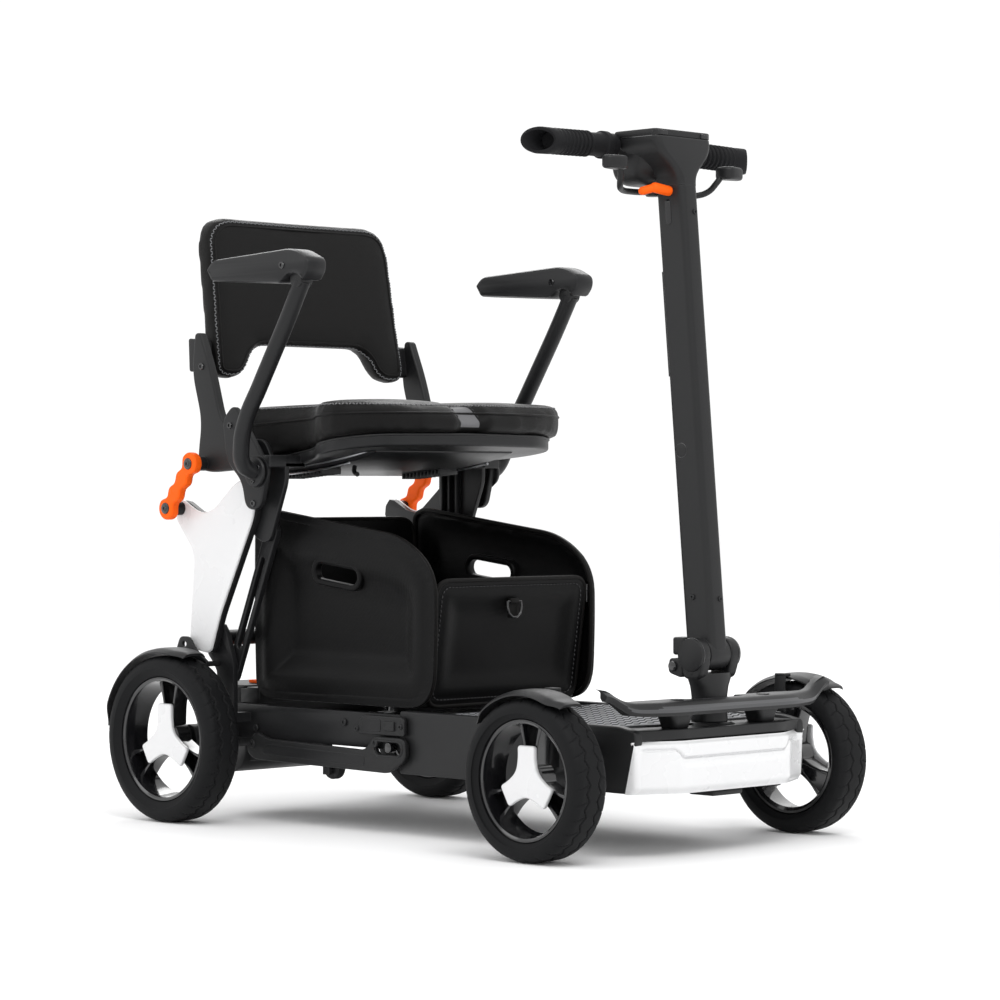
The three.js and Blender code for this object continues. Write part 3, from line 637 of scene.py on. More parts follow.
def wheel_centre(end):
    low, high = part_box(f"tyre_{end}_left")
    return (low + high) / 2 / MM


def groove_share(turn, across, pitches):
    """How deep the tread is cut at a place: 0 on a block and 1 in a groove."""
    phase = turn * pitches
    zigzag = abs((phase % 1.0) * 2 - 1) - 0.5
    share = 0.0
    for rail, swing in ((-9.0, 5.0), (9.0, -5.0)):
        gap = abs(across - rail - swing * zigzag)
        share = max(share, 1 - max(0.0, gap - 0.5) / 0.6)
    out = abs(across)
    if 11 < out < 25:
        lean = 0.024 * (out - 11)
        wave = abs(((phase + lean + (0.5 if across > 0 else 0.0)) % 1.0) - 0.5) * 2
        share = max(share, 0.6 * (1 - max(0.0, wave - 0.04) / 0.07))
    return min(1.0, max(0.0, share))


def crown_drop(t):
    """How far the tyre's crown falls at a share of its half width; round from the shoulder on."""
    if t < 0.55:
        return 0.4 * (t * 2.2) ** 2
    u = (t - 0.55) / 0.45
    return 0.6 + 12.5 * (1 - math.sqrt(max(0.0, 1 - u * u)))


def tyre_mesh(wheel, centre, pitches, steps=420):
    outer = wheel["radius"]
    tread = []
    for k in range(45):
        across = -TREAD_HALF + 2 * TREAD_HALF * k / 44
        t = min(1.0, abs(across) / TREAD_HALF)
        tread.append((outer - crown_drop(t), across, max(0.0, min(1.0, (0.97 - t) * 8))))
    wall = [(outer - 17, 26.8, 0), (wheel["rim"] + 9, 25.4, 0), (wheel["rim"] + 4, 22.5, 0),
            (wheel["rim"] + 1, 20.2, 0), (wheel["rim"] + 1, -20.2, 0),
            (wheel["rim"] + 4, -22.5, 0), (wheel["rim"] + 9, -25.4, 0), (outer - 17, -26.8, 0)]
    full = tread + wall
    spots = []
    for k in range(steps):
        turn = k / steps
        c, s = math.cos(2 * math.pi * turn), math.sin(2 * math.pi * turn)
        for r, across, weight in full:
            cut = GROOVE_DEPTH * weight * groove_share(turn, across, pitches) if weight else 0.0
            spots.append(metres(centre.x + (r - cut) * c, centre.y + across,
                                centre.z + (r - cut) * s))
    mesh = bpy.data.meshes.new("tyre")
    mesh.from_pydata(spots, [], ring_faces(steps, len(full), True))
    return tidy_mesh(mesh, 0.0000001)


for end, wheel in WHEELS.items():
    pitches = round(2 * math.pi * wheel["radius"] / 19)
    made = tyre_mesh(wheel, wheel_centre(end), pitches)
    both_sides(f"treaded_tyre_{end}", made, wheel["body"], TYRE, "tyre_" + end + "_{side}")
    print(end, "tyre:", pitches, "pitches,", len(made.polygons), "faces")

# %% [markdown]
# The rim is a deep glossy dish. Three spokes leave its hub, each a pair of thin ribs with a
# hollow between them, and a white three-lobed cap covers the hub and the roots of the spokes.

# %% Rims
SPOKE_ANGLES = (90, 210, 330)


def turned_about(mesh, centre, degrees):
    """The mesh turned about a wheel's axle."""
    pivot = metres(*centre)
    spin = Matrix.Rotation(-math.radians(degrees), 4, "Y")
    mesh.transform(Matrix.Translation(pivot) @ spin @ Matrix.Translation(-pivot))
    return mesh


def rim_mesh(wheel, centre):
    r = wheel["rim"]
    ring = turned([(r + 0.6, -18), (r + 0.6, 17.6), (r - 0.4, 19.6), (r - 2.4, 19.9),
                   (r - 4.6, 18.6), (r - 5.6, 15.4), (r - 7.0, -10), (r - 8, -16),
                   (r - 4, -19.6), (r - 1, -19.4)], centre, "y", 128)
    hub = turned([(8.4, -16.8), (19, -16.8), (21, -14), (21, 7), (19, 9), (8.4, 9)],
                 centre, "y", 64)
    parts = [ring, hub]
    for angle in SPOKE_ANGLES:
        for side in (-1, 1):
            root, tip = 12.0, r - 5.2
            shape = outline([
                (centre.x + root, centre.z + side * 3.0),
                (centre.x + root + 10, centre.z + side * 3.4),
                (centre.x + tip, centre.z + side * 13.5, 2),
                (centre.x + tip + 0.6, centre.z + side * 20.5, 2),
                (centre.x + 0.62 * tip, centre.z + side * 10.5, 12),
                (centre.x + root, centre.z + side * 9.5),
            ])
            rib = plate([shape], "side", (centre.y - 15, centre.y + 7.5), 1.4)
            parts.append(turned_about(rib, centre, angle))
        web = plate([outline([
            (centre.x + 12, centre.z - 5), (centre.x + r - 5.4, centre.z - 15),
            (centre.x + r - 5.4, centre.z + 15), (centre.x + 12, centre.z + 5)])],
            "side", (centre.y - 14, centre.y - 8), 0.8)
        parts.append(turned_about(web, centre, angle))
    return joined(parts)


# %% Hub caps
def cap_mesh(wheel, centre):
    """Three lobes that swell from a waist and end in a soft curve, dished a little."""
    reach = 0.57 * wheel["rim"]
    corners = []
    for angle in SPOKE_ANGLES:
        heading = math.radians(angle)
        along = Vector((math.cos(heading), math.sin(heading)))
        across = Vector((-along.y, along.x))
        for out, side, radius in ((14, -15.5, 9), (0.66 * reach, -13.4, 9), (reach, -14.0, 5),
                                  (reach, 14.0, 5), (0.66 * reach, 13.4, 9), (14, 15.5, 9)):
            spot = along * out + across * side
            corners.append((centre.x + spot.x, centre.z + spot.y, radius))
    return plate([outline(corners)], "side", (centre.y + 9.4, centre.y + 15.3), 2.2, 5)


for end, wheel in WHEELS.items():
    centre = wheel_centre(end)
    both_sides(f"glossy_rim_{end}", rim_mesh(wheel, centre), wheel["body"], RIM_BLACK,
               "rim_" + end + "_{side}")
    both_sides(f"lobed_cap_{end}", cap_mesh(wheel, centre), wheel["body"], WHITE,
               "hub_cap_" + end + "_{side}")
print("rims and caps made")

# %% [markdown]
# ## Tiller
# The tiller is what the rider's hands know best: a casting that grows out of a slim column,
# flares into a lid, and carries a soft round belly behind. Rings of one length, stacked and
# blended, make the column in one skin, and the flare in a second that starts where the column ends.

# %% Column and head
HINGE = (60, 236)
COLUMN_LEAN = 0.0888


def column_x(z):
    """Middle of the column at a height; it leans back as it rises."""
    return 60 - (z - 234) * COLUMN_LEAN - 3


def smooth_rings(levels, steps=4):
    """Rings between the given levels, with every value eased along a smooth curve."""
    made = []
    last = len(levels) - 1
    for i in range(last):
        near = [levels[max(i - 1, 0)], levels[i], levels[i + 1], levels[min(i + 2, last)]]
        for k in range(steps):
            t = k / steps
            made.append([0.5 * (2 * b + (c - a) * t + (2 * a - 5 * b + 4 * c - d) * t * t
                                + (3 * b - a - 3 * c + d) * t ** 3)
                         for a, b, c, d in zip(*near)])
    made.append(levels[-1])
    return made


def levels_mesh(levels, steps=4, corner_steps=6):
    """A skin over levels of [height, rear, front, half width, corner radius]."""
    rings = []
    for z, rear, front, half, corner in smooth_rings(levels, steps):
        corner = min(corner, 0.48 * (front - rear), 0.96 * half)
        rings.append(level_ring((at(rear), at(front)), (-half, half), z, corner, corner_steps))
    return lofted(rings)


column = levels_mesh([[z, column_x(z) - 22, column_x(z) + 22, 15, 8]
                      for z in (238, 300, 420, 600, 770, 794.6)], 3)
barrel = knob("y", 19.4, (-17.6, 17.6), (at(HINGE[0]), HINGE[1] - 2), 1.2, 64)
piece("tiller_column_casting", joined([column, barrel]), "tiller", CHARCOAL,
      ["tiller_column"])

head = levels_mesh([
    [794.8, -15, 29.3, 15.4, 8], [800, -15.6, 28.8, 15.8, 8], [806, -17, 28.2, 17.4, 8],
    [813, -20, 27.4, 22.5, 9], [820, -25, 26.6, 30, 10], [828, -33, 25.4, 38.5, 10],
    [835, -41, 24, 44.6, 10], [843, -49, 22.4, 48.6, 10], [851.6, -53, 20.6, 49.4, 9],
], 4, 8)
belly = levels_mesh([
    [797, -52, -30, 16, 8], [798.6, -62, -22, 24, 14], [804, -69, -14, 34, 20],
    [812, -71, -10, 40, 22], [822, -70, -8, 43, 22], [834, -65, -8, 43, 18],
    [845, -56, -10, 40, 10],
], 4, 8)
piece("head_casting", joined([head, belly]), "tiller", CHARCOAL, ["tiller_head"])
print("column and head cast")

# %% [markdown]
# The lid is a thin chamfered slab. Small glossy tabs sit at its front corners, and a plain
# display window is let into its top, with a round knob and two keys that hold no lettering.

# %% Lid and its controls
lid = plate([profile([(-53, -50, 11), (19, -50, 8), (19, 50, 8),
                      (-53, 50, 11)])], "plan", (852, 860.8), 2.4, 4)
window = plate([profile([(-44, -32, 5), (-14, -32, 5), (-14, 32, 5),
                         (-44, 32, 5)])], "plan", (859.6, 861), 0.4)
keys = [knob("z", 5.5, (859, 861), (at(4), side * 30), 0.6, 32) for side in (-1, 1)]
dial = knob("z", 11, (858, 861), (at(2), 0), 0.8, 48)
glossy_tabs = [plate([profile([(13, side * 50.6, 2), (20.2, side * 44, 3), (20.6, side * 30, 2),
                               (18, side * 30, 2), (17, side * 43, 3), (11, side * 47, 2)])],
                     "plan", (853.4, 858.6), 0.6) for side in (-1, 1)]
seam_band = plate([profile([(-54, -49.4, 11), (18.4, -49.4, 8), (18.4, 49.4, 8),
                            (-54, 49.4, 11)])], "plan", (850.6, 852.6), 0.3)
lid_parts = [lid, window, dial, seam_band, *keys, *glossy_tabs]
lid_finishes = [CHARCOAL, GLASSY_BLACK, BEVEL_GREY, RIM_BLACK, GRIP, GRIP, GLASSY_BLACK,
                GLASSY_BLACK]
piece("console_lid", joined(lid_parts, lid_finishes), "tiller", None, ["console_panel"])
print("lid made,", len(lid_parts), "parts")

# %% [markdown]
# A grip is a rubber sleeve. Fine rings run round its middle so that a hand doesn't slip, and its
# far end is cut on a slant and left hollow. The rings repeat along an axis, so a small Geometry
# Nodes tree sets one ring at a time on a line of points; the ring's shape and finish are its
# inputs.

# %% A tree that repeats a shape along a line
def node_tree(name, inputs):
    tree = bpy.data.node_groups.new(name, "GeometryNodeTree")
    tree.interface.new_socket("Geometry", in_out="INPUT", socket_type="NodeSocketGeometry")
    for label, kind in inputs:
        tree.interface.new_socket(label, in_out="INPUT", socket_type=kind)
    tree.interface.new_socket("Geometry", in_out="OUTPUT", socket_type="NodeSocketGeometry")
    return tree, tree.nodes.new("NodeGroupInput"), tree.nodes.new("NodeGroupOutput")


def run_tree(tree, mesh, values):
    """The tree's result on a mesh, as a plain mesh. Inputs are set by socket identifier."""
    obj = linked("repeated", mesh)
    modifier = obj.modifiers.new("repeated", "NODES")
    modifier.node_group = tree
    for item in tree.interface.items_tree:
        if item.item_type == "SOCKET" and item.in_out == "INPUT" and item.name in values:
            modifier[item.identifier] = values[item.name]
    return mesh_of(obj)


def placed_copies_tree():
    """Copies one small shape to every point, turned to a heading and leaned out along a normal."""
    tree, inp, out = node_tree("copies_at_points", [
        ("Shape", "NodeSocketObject"), ("Finish", "NodeSocketMaterial")])
    shape = add_node(tree, "GeometryNodeObjectInfo", {"Object": inp.outputs["Shape"]})
    heading = add_node(tree, "GeometryNodeInputNamedAttribute", {"Name": "heading"},
                       data_type="FLOAT_VECTOR")
    outward = add_node(tree, "GeometryNodeInputNamedAttribute", {"Name": "outward"},
                       data_type="FLOAT_VECTOR")
    aligned = add_node(tree, "FunctionNodeAlignRotationToVector",
                       {"Vector": heading.outputs[0]}, axis="X")
    leaned = add_node(tree, "FunctionNodeAlignRotationToVector",
                      {"Rotation": aligned.outputs[0], "Vector": outward.outputs[0]},
                      axis="Z", pivot_axis="X")
    copies = add_node(tree, "GeometryNodeInstanceOnPoints", {
        "Points": inp.outputs["Geometry"], "Instance": shape.outputs["Geometry"],
        "Rotation": leaned.outputs[0]})
    real = add_node(tree, "GeometryNodeRealizeInstances", {"Geometry": copies.outputs[0]})
    painted = add_node(tree, "GeometryNodeSetMaterial",
                       {"Geometry": real.outputs[0], "Material": inp.outputs["Finish"]})
    tree.links.new(painted.outputs[0], out.inputs[0])
    return tree


COPIES = placed_copies_tree()


def copies(spots, shape, finish):
    """One shape at each spot; a spot is (place, heading, outward), in millimetres."""
    points = bpy.data.meshes.new("spots")
    points.from_pydata([metres(*spot[0]) for spot in spots], [], [])
    for label, which in (("heading", 1), ("outward", 2)):
        values = points.attributes.new(label, "FLOAT_VECTOR", "POINT")
        flat = [c for spot in spots for c in Vector(spot[which]).normalized()]
        values.data.foreach_set("vector", flat)
    pattern = linked("pattern", shape)
    made = run_tree(COPIES, points, {"Shape": pattern, "Finish": finish})
    bpy.data.objects.remove(pattern)
    return made


# %% Grips
GRIP_IN, GRIP_OUT = (-51, 58, 844), (-43, 200, 840)


def along_grip(share):
    return tuple(a + (b - a) * share for a, b in zip(GRIP_IN, GRIP_OUT))


def grip_ring(share, radius, slant=0.0, steps=40):
    x, y, z = along_grip(share)
    made = []
    for k in range(steps):
        turn = 2 * math.pi * k / steps
        c, s = math.cos(turn), math.sin(turn)
        made.append((at(x) + radius * c, y + slant * c, z + radius * s))
    return made


grip_levels = [(-0.05, 14.6), (0.02, 14.6), (0.03, 14.9), (0.045, 16.8), (0.1, 16.8),
                (0.112, 15.0), (0.14, 14.4), (0.26, 13.9), (0.5, 14.2), (0.66, 15.2), (0.78, 15.9),
                (0.88, 16.1)]
END_SLANT = -14


def end_slant(share):
    return END_SLANT * max(0.0, share - 0.66) / 0.24


sleeve_rings = [grip_ring(share, radius, slant=end_slant(share)) for share, radius in grip_levels]
sleeve_rings += [grip_ring(0.9, 15.4, slant=END_SLANT), grip_ring(0.9, 12.2, slant=END_SLANT),
                 grip_ring(0.87, 11.6, slant=END_SLANT), grip_ring(0.74, 10.6, slant=-4)]
sleeve = lofted(sleeve_rings)
ring_centres = [along_grip(0.3 + 0.05 * k) for k in range(9)]
ring_spots = [((at(x), y, z), (1, 0, 0), (0, 1, 0)) for x, y, z in ring_centres]
one_ring = turned([(13.2, -1.7), (14.5, -1.9), (15.5, -1.1), (15.9, 0), (15.5, 1.1),
                   (14.5, 1.9), (13.2, 1.7)], (0, 0, 0), "z", 40)
rings = copies(ring_spots, one_ring, GRIP)
stub = lofted([grip_ring(-0.06, 12), grip_ring(0.02, 12)])
both_sides("ribbed_grip", joined([sleeve, rings, stub]), "tiller", GRIP, "grip_{side}")
print("grips ribbed with", len(ring_spots), "rings a side")

# %% [markdown]
# Two thumb paddles rock together under the head. Each is a chunky rounded block on a thin bent
# arm, and a short orange lever beside them frees the tiller's fold. The lever's stippled skin is
# in its finish, and its body is two soft capsules joined at an elbow.

# %% Paddles and release lever
def paddle_mesh():
    blade = plate([profile([
        (-10, 88, 6), (4, 85, 7), (15, 92, 8), (14, 106, 8), (9, 122, 7),
        (-3, 122, 7), (-9, 104, 8)])], "plan", (809, 825), 4.4, 6)
    arm = tube([(at(-30), 0, 790), (at(-29), 40, 788), (at(-22), 66, 789), (at(-12), 79, 794),
                (at(-4), 86, 805), (at(-1), 93, 815)], 3.8, True, 4, 8)
    return joined([blade, arm])


lever = paddle_mesh()
hub = knob("z", 9.6, (784.5, 793.8), (at(-30), 0), 1.2)
piece("thumb_paddles", joined([lever, mirrored(lever), hub]), "throttle", CHARCOAL,
      ["throttle_lever"])


def capsule(a, b, radius, flat=1.0):
    """A rounded bar between two places, flattened a little along its height."""
    a, b = Vector(a), Vector(b)
    heading = (b - a).normalized()
    side = heading.cross(Vector((0, 0, 1))).normalized()
    up = side.cross(heading)
    rings = []
    for k in range(-8, 9):
        t = k / 8
        bulge = math.sqrt(1 - t * t)
        base = a if t < 0 else b
        rings.append((base + heading * radius * t * 0.999, max(0.02, bulge) * radius))
    made = []
    for centre, r in rings:
        made.append([tuple(centre + side * r * math.cos(q) + up * r * flat * math.sin(q))
                     for q in (2 * math.pi * i / 24 for i in range(24))])
    return lofted(made)


root_bar = capsule((at(9), -17, 788), (at(5), -36, 791), 6.2)
tip_bar = capsule((at(4), -36, 791), (at(-3), -48, 787), 6.0, 0.85)
pivot_cap = knob("y", 5.2, (-19, -15.4), (at(9), 788), 1.0)
piece("orange_fold_lever", joined([root_bar, tip_bar, pivot_cap]), "fold_release", ORANGE,
      ["fold_release_lever"])

# %% [markdown]
# The column folds on a barrel held between two smooth round cheeks. The stem below is round at
# the deck and broadens into the cheeks. A latch block stands behind them with a screw boss.

# %% Stem, cheeks and latch
cheek = plate([profile([(47, 205, 8), (73, 205, 8), (80, 226, 12), (79.4, 244, 14),
                        (69, 253.6, 12), (51, 253.6, 12), (40.6, 244, 14),
                        (40, 226, 12)], 10)], "side", (18.4, 32.6), 3.4, 6)
cap = knob("y", 20, (19.4, 35), (at(HINGE[0]), HINGE[1] - 2), 1.6, 72)
cap_groove = knob("y", 20.5, (30.4, 31.6), (at(HINGE[0]), HINGE[1] - 2), 0.3, 72)
stem = lofted([
    [(at(60) + r * math.cos(q), wide * math.sin(q), z) for q in
     (2 * math.pi * i / 48 for i in range(48))]
    for z, r, wide in ((98, 20, 20), (152, 20, 20), (155, 22, 22), (168, 21, 22), (184, 20.4, 22.6),
                       (196, 20.2, 26), (206, 20, 32), (212, 19, 33))])
screw_ear = plate([profile([(24, 212, 6), (46, 206, 5), (46, 228, 5),
                            (26, 230, 6)])], "side", (-34, -18.6), 1.6)
boss_screw = knob("y", 6.2, (-37, -34), (at(33), 220), 1.2)
arm = plain_box((at(13), at(60)), (-8, 8), (98.4, 106))
piece("stem_and_cheeks",
      joined([stem, cheek, mirrored(cheek), cap, mirrored(cap), screw_ear, softened(arm, 1.0),
              boss_screw, cap_groove, mirrored(cap_groove)],
             [CHARCOAL] * 7 + [RIM_BLACK] * 3), "steering", None, ["steering_stem"])
latch = block((13, 32), (-14, 6), (232, 253.4), 3.0)
ridges = [block((11.8, 15), (-11, 3), (236 + 4 * k, 238 + 4 * k), 0.6) for k in range(4)]
piece("latch_block", joined([latch, *ridges]), "hinge_latch", CHARCOAL, ["hinge_latch"])


# %% [markdown]
# Screws repeat all over the scooter. Each has a round head with a hexagonal socket, and a single
# call sets a whole list of them on their surfaces.

# %% Screws
def screw_shape(radius, height=2.0):
    """A cap screw pointing up, with a hexagonal socket in its head."""
    ring = 18
    mesh = bpy.data.meshes.new("screw")
    spots = []
    levels = [(radius, 0), (radius, height * 0.6), (radius * 0.88, height),
              (radius * 0.52, height), (radius * 0.48, height * 0.35)]
    for level, (r, z) in enumerate(levels):
        for k in range(ring):
            q = 2 * math.pi * k / ring
            bend = 1.0
            if level >= 3:
                bend = 0.9 / max(math.cos((q % (math.pi / 3)) - math.pi / 6), 0.8)
            spots.append(metres(r * bend * math.cos(q), r * bend * math.sin(q), z))
    floor = tuple(range(len(levels) * ring - ring, len(levels) * ring))
    mesh.from_pydata(spots, [], [*ring_faces(len(levels), ring), floor])
    return mesh


def screws(places, normal, radius=4.2, finish=DARK_PAINT):
    side = (0, 0, 1) if abs(normal[2]) < 0.5 else (1, 0, 0)
    spots = [((at(x), y, z), side, normal) for x, y, z in places]
    return copies(spots, screw_shape(radius), finish)


front_screw = screws([(column_x(763) + 21.6, 5, 763), (column_x(300) + 21.6, 4, 300)],
                     (1, 0, 0), 3.2)
side_screws = [screws([(column_x(302) - 4, side * 15, 302)], (0, side, 0), 3.4)
               for side in (-1, 1)]
cap_disc = knob("y", 8.4, (-15.9, 15.9), (at(column_x(477) - 7), 477), 0.7, 48)
cap_seam = knob("y", 9.0, (-15.2, 15.2), (at(column_x(477) - 7), 477), 0.2, 48)
wiring_strip = tube([(at(column_x(z) - 21.2), -8, z) for z in (566, 600, 640, 692)], 3.2)
piece("column_screws", joined([front_screw, *side_screws, cap_disc, cap_seam, wiring_strip],
                              [DARK_PAINT] * 3 + [CHARCOAL, RIM_BLACK, CHARCOAL]),
      "tiller", None, ())
slot_frame = plate([stadium((at(column_x(760) - 2), 752), (at(column_x(776) - 2), 774), 9)],
                   "side", (-15.5, -14.6), 0.3)
piece("lever_slot", slot_frame, "tiller", GLASSY_BLACK, ())
print("tiller done")

# %% [markdown]
# ## Deck and front end
# Many small castings and pressings are plain shapes whose only refinement is a soft edge. For
# those, the frame's own node is copied, its loose triangles are merged, and every sharp edge is
# rounded, which is what a mould's radius does. A piece with a real shape gets its own mesh.

# %% A frame node with its edges rounded
def dressed(node, body, material, edge=1.0, extra=()):
    """The node's shape, merged and with soft edges, in place of the node."""
    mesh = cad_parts[node].data.copy()
    work = bmesh.new()
    work.from_mesh(mesh)
    bmesh.ops.remove_doubles(work, verts=work.verts, dist=0.00002)
    bmesh.ops.dissolve_limit(work, angle_limit=math.radians(1.5), verts=work.verts,
                             edges=work.edges)
    work.to_mesh(mesh)
    work.free()
    mesh.materials.clear()
    soft = softened(mesh, edge, steps=2, angle=38)
    made = joined([soft, *[part for part, finish in extra]],
                  [material, *[finish for part, finish in extra]])
    return piece("soft_" + node, made, body, None, [node])


for side in SIDES:
    dressed(f"knuckle_{side}", f"knuckle_{side}", DARK_PAINT)
dressed("front_axle_beam", "chassis", DARK_PAINT)
dressed("tie_rod", "tie_rod", DARK_PAINT)
print("steering castings dressed")

# %% [markdown]
# The deck is a shallow moulded tray. Its side walls rise into a lip that keeps shoes on the mat,
# arch over the front axle, and run forward to a slanted end where the white bumper takes over.

# %% Deck tray
side_wall = plate([profile([
    (-318, 77, 3), (-92, 77, 8), (-80, 110, 20), (-74, 141, 12), (12, 141, 6),
    (14, 112, 6), (14, 77, 4), (63.4, 77, 1), (80, 137, 2), (79, 150, 5),
    (52, 155, 6), (-318, 155, 4)])], "side", (138.4, 151.6), 2.4, 4)
floor_plate = plate([profile([(-318, -146, 3), (72, -146, 8), (72, 146, 8), (-318, 146, 3)]),
                     circle((at(60), 0), 21.4, 48)], "plan", (143.6, 150), 1.0)
front_lip = plate([profile([(40, -149, 3), (76, -149, 6), (96, -92, 14), (96, 92, 14),
                            (76, 149, 6), (40, 149, 3)]),
                   circle((at(60), 0), 21.4, 48)], "plan", (138.4, 150.8), 2.0, 4)
stem_ring = turned([(21, 148), (21, 153), (25, 154.2), (30, 152), (32, 149)],
                   (at(60), 0, 0), "z", 72)
skid = block((50, 90), (-27, 27), (68, 76), 3.0)
ribs = [plain_box((at(x), at(x + 5)), (-138, 138), (118, 144)) for x in (-300, -210, -120)]
end_wall = plain_box((at(-317), at(-312)), (-138, 138), (80, 145))
piece("deck_tray", joined([side_wall, mirrored(side_wall), floor_plate, front_lip, stem_ring,
                           skid, end_wall, *ribs]),
      "chassis", CHARCOAL, ["deck_frame"])

# %% [markdown]
# The mat is grey rubber with rows of short raised dashes that lean one way and then the other.
# A dash is a small boat shape, copied by the same tree that ringed the grips.

# %% Mat
mat = plate([profile([(-250, -136, 6), (38, -136, 14), (38, 136, 14),
                      (-250, 136, 6)]), circle((at(60), 0), 26, 48)],
            "plan", (150.2, 153.4), 1.0)
DASH_PITCH = 12.0


def dash_shape(length=8.4, width=2.3, height=0.9):
    base = [(-length / 2, 0), (-length / 3, -width / 2), (length / 3, -width / 2),
            (length / 2, 0), (length / 3, width / 2), (-length / 3, width / 2)]
    mesh = bpy.data.meshes.new("dash")
    spots = [metres(x, y, 0) for x, y in base] + [metres(0.7 * x, 0.6 * y, height) for x, y in base]
    faces = [tuple(range(6, 12))]
    faces += [(i, (i + 1) % 6, 6 + (i + 1) % 6, 6 + i) for i in range(6)]
    mesh.from_pydata(spots, [], faces)
    return mesh


dash_spots = []
for row in range(22):
    for column in range(23):
        x = -243 + DASH_PITCH * column + (row % 2) * DASH_PITCH / 2
        y = -128 + DASH_PITCH * row
        if x > 32 or math.hypot(x - 60, y) < 32:
            continue
        heading = (0.75, 0.66, 0) if row % 2 else (0.75, -0.66, 0)
        dash_spots.append(((at(x), y, 153.2), heading, (0, 0, 1)))
dashes = copies(dash_spots, dash_shape(), DARK_PAINT)
piece("ribbed_mat", joined([mat, dashes], [MAT_GREY, GRIP]), "chassis", None, ["deck_mat"])
print("mat carries", len(dash_spots), "dashes")

# %% [markdown]
# The bumper is one white skin, swept back at both corners and cut off on a slant where it meets
# the dark side wall. A crease runs along its top, dips, and opens into a long shallow recess.
# A grid over width and height lets the skin's depth follow a formula, and Solidify thickens it.

# %% Bumper
BUMPER_LOW, BUMPER_HIGH, BUMPER_REACH = 76.4, 137.6, 151.6


def bumper_front(y):
    """How far ahead the bumper's face is at a distance from the middle."""
    out = abs(y)
    if out < 84:
        return 105.4
    if out < 100:
        t = (out - 84) / 16
        return 105.4 - 3.6 * t * t
    return 101.8 - (out - 100) * 0.5


def smooth_step(low_value, high_value, value):
    t = min(1.0, max(0.0, (value - low_value) / (high_value - low_value)))
    return t * t * (3 - 2 * t)


def bumper_depth(y, z):
    crease = 127.5 - 9.5 * smooth_step(104, 88, abs(y))
    groove = 3.2 * max(0.0, 1 - abs(z - crease) / 2.4) * smooth_step(144, 136, abs(y))
    lip = 2.2 * smooth_step(146, 136, abs(y)) * smooth_step(crease - 1.6, crease + 1.6, z)
    recess = 3.4 * smooth_step(100, 88, abs(y)) * smooth_step(crease - 13, crease - 4, z)
    recess *= smooth_step(crease + 1.0, crease - 1.0, z)
    low_roll = 5.0 * smooth_step(88, 76.4, z) ** 2
    high_roll = 5.5 * smooth_step(131, 137.6, z) ** 2
    return groove + lip + recess + low_roll + high_roll


def bumper_mesh(across=150, up=60):
    spots, faces = [], []
    for i in range(across + 1):
        for j in range(up + 1):
            v = j / up
            z = BUMPER_LOW + (BUMPER_HIGH - BUMPER_LOW) * v
            u = -1 + 2 * i / across
            y = BUMPER_REACH * u
            x = bumper_front(y) - bumper_depth(y, z)
            if abs(u) > 0.94:
                wrap = (abs(u) - 0.94) / 0.06
                y = math.copysign(142.5 + 9.3 * math.sin(wrap * math.pi / 2) ** 0.6, u)
                corner = bumper_front(142.5) - bumper_depth(142.5, z)
                x = corner - (corner - (63.6 + 15.0 * v)) * wrap ** 1.6
            spots.append(metres(at(x), y, z))
    for i in range(across):
        for j in range(up):
            a = i * (up + 1) + j
            faces.append((a, a + up + 1, a + up + 2, a + 1))
    mesh = bpy.data.meshes.new("bumper")
    mesh.from_pydata(spots, [], faces)
    obj = linked("bumper", mesh)
    wall = obj.modifiers.new("wall", "SOLIDIFY")
    wall.thickness = 3.5 * MM
    wall.offset = -1
    return tidy_mesh(mesh_of(obj))


bumper = bumper_mesh()
backing = plate([profile([(62.6, -146, 2), (74, -146, 4), (97, -94, 12), (97, 94, 12),
                          (74, 146, 4), (62.6, 146, 2)])],
                "plan", (80, 132), 1.5)
piece("bumper_skin", bumper, "chassis", WHITE, ["front_bumper"])
piece("bumper_backing", backing, "chassis", DARK_PAINT, ())
middle = [v.co.x for v in bumper.vertices if abs(v.co.y) < 0.02]
print("bumper face reaches station", round(max(middle) / MM - AXLE_X, 1))

# %% [markdown]
# The foot bar is a wing. Its section is a flat blade with a chamfer along the front, and
# towards the ends it sweeps back and turns up into fins. Sections set along the width, each
# placed by three smooth functions, make it one skin. Faces that look forward, the chamfer among
# them, take a paler charcoal: a painted highlight where the light falls.

# %% Foot bar
def wing_section(y):
    out = abs(y)
    swept = smooth_step(100, 206, out)
    front = 101.5 - 20 * swept
    rear = 48 + 22 * smooth_step(120, 176, out) + 36 * smooth_step(56, 42, out)
    fin = smooth_step(158, 200, out)
    low_z = 167 + 2 * swept + 18 * fin
    high_z = 184 + 1.5 * swept + 15.5 * fin
    front -= 1 * fin
    rear = min(rear, front - 11)
    return [(rear, y, low_z + 4), (rear, y, high_z - 4), (rear + 3, y, high_z - 1),
            (front - 20, y, high_z), (front - 11, y, high_z - 0.8), (front - 8, y, high_z - 2.4),
            (front, y, low_z + 0.48 * (high_z - low_z)), (front - 0.4, y, low_z + 4),
            (front - 3, y, low_z), (rear + 3, y, low_z)]


wing_stations = [-200, -198.5, -196, -192, -186, -176, -166, -156, -144, -130, -114, -98, -80, -62,
                 -54, -50, -46, -42, -38, -20]
wing_stations += [0] + [-y for y in reversed(wing_stations)]
wing = lofted([[(at(x), y, z) for x, y, z in wing_section(y)] for y in wing_stations])
wing = softened(wing, 1.0, 1, 2, 25)


def post_mesh(y):
    return lofted([level_ring((at(62), at(86)), (y - 14, y + 14), 151, 6),
                   level_ring((at(60), at(88)), (y - 16, y + 16), 160, 7),
                   level_ring((at(59), at(90)), (y - 22, y + 22), 169, 8)])


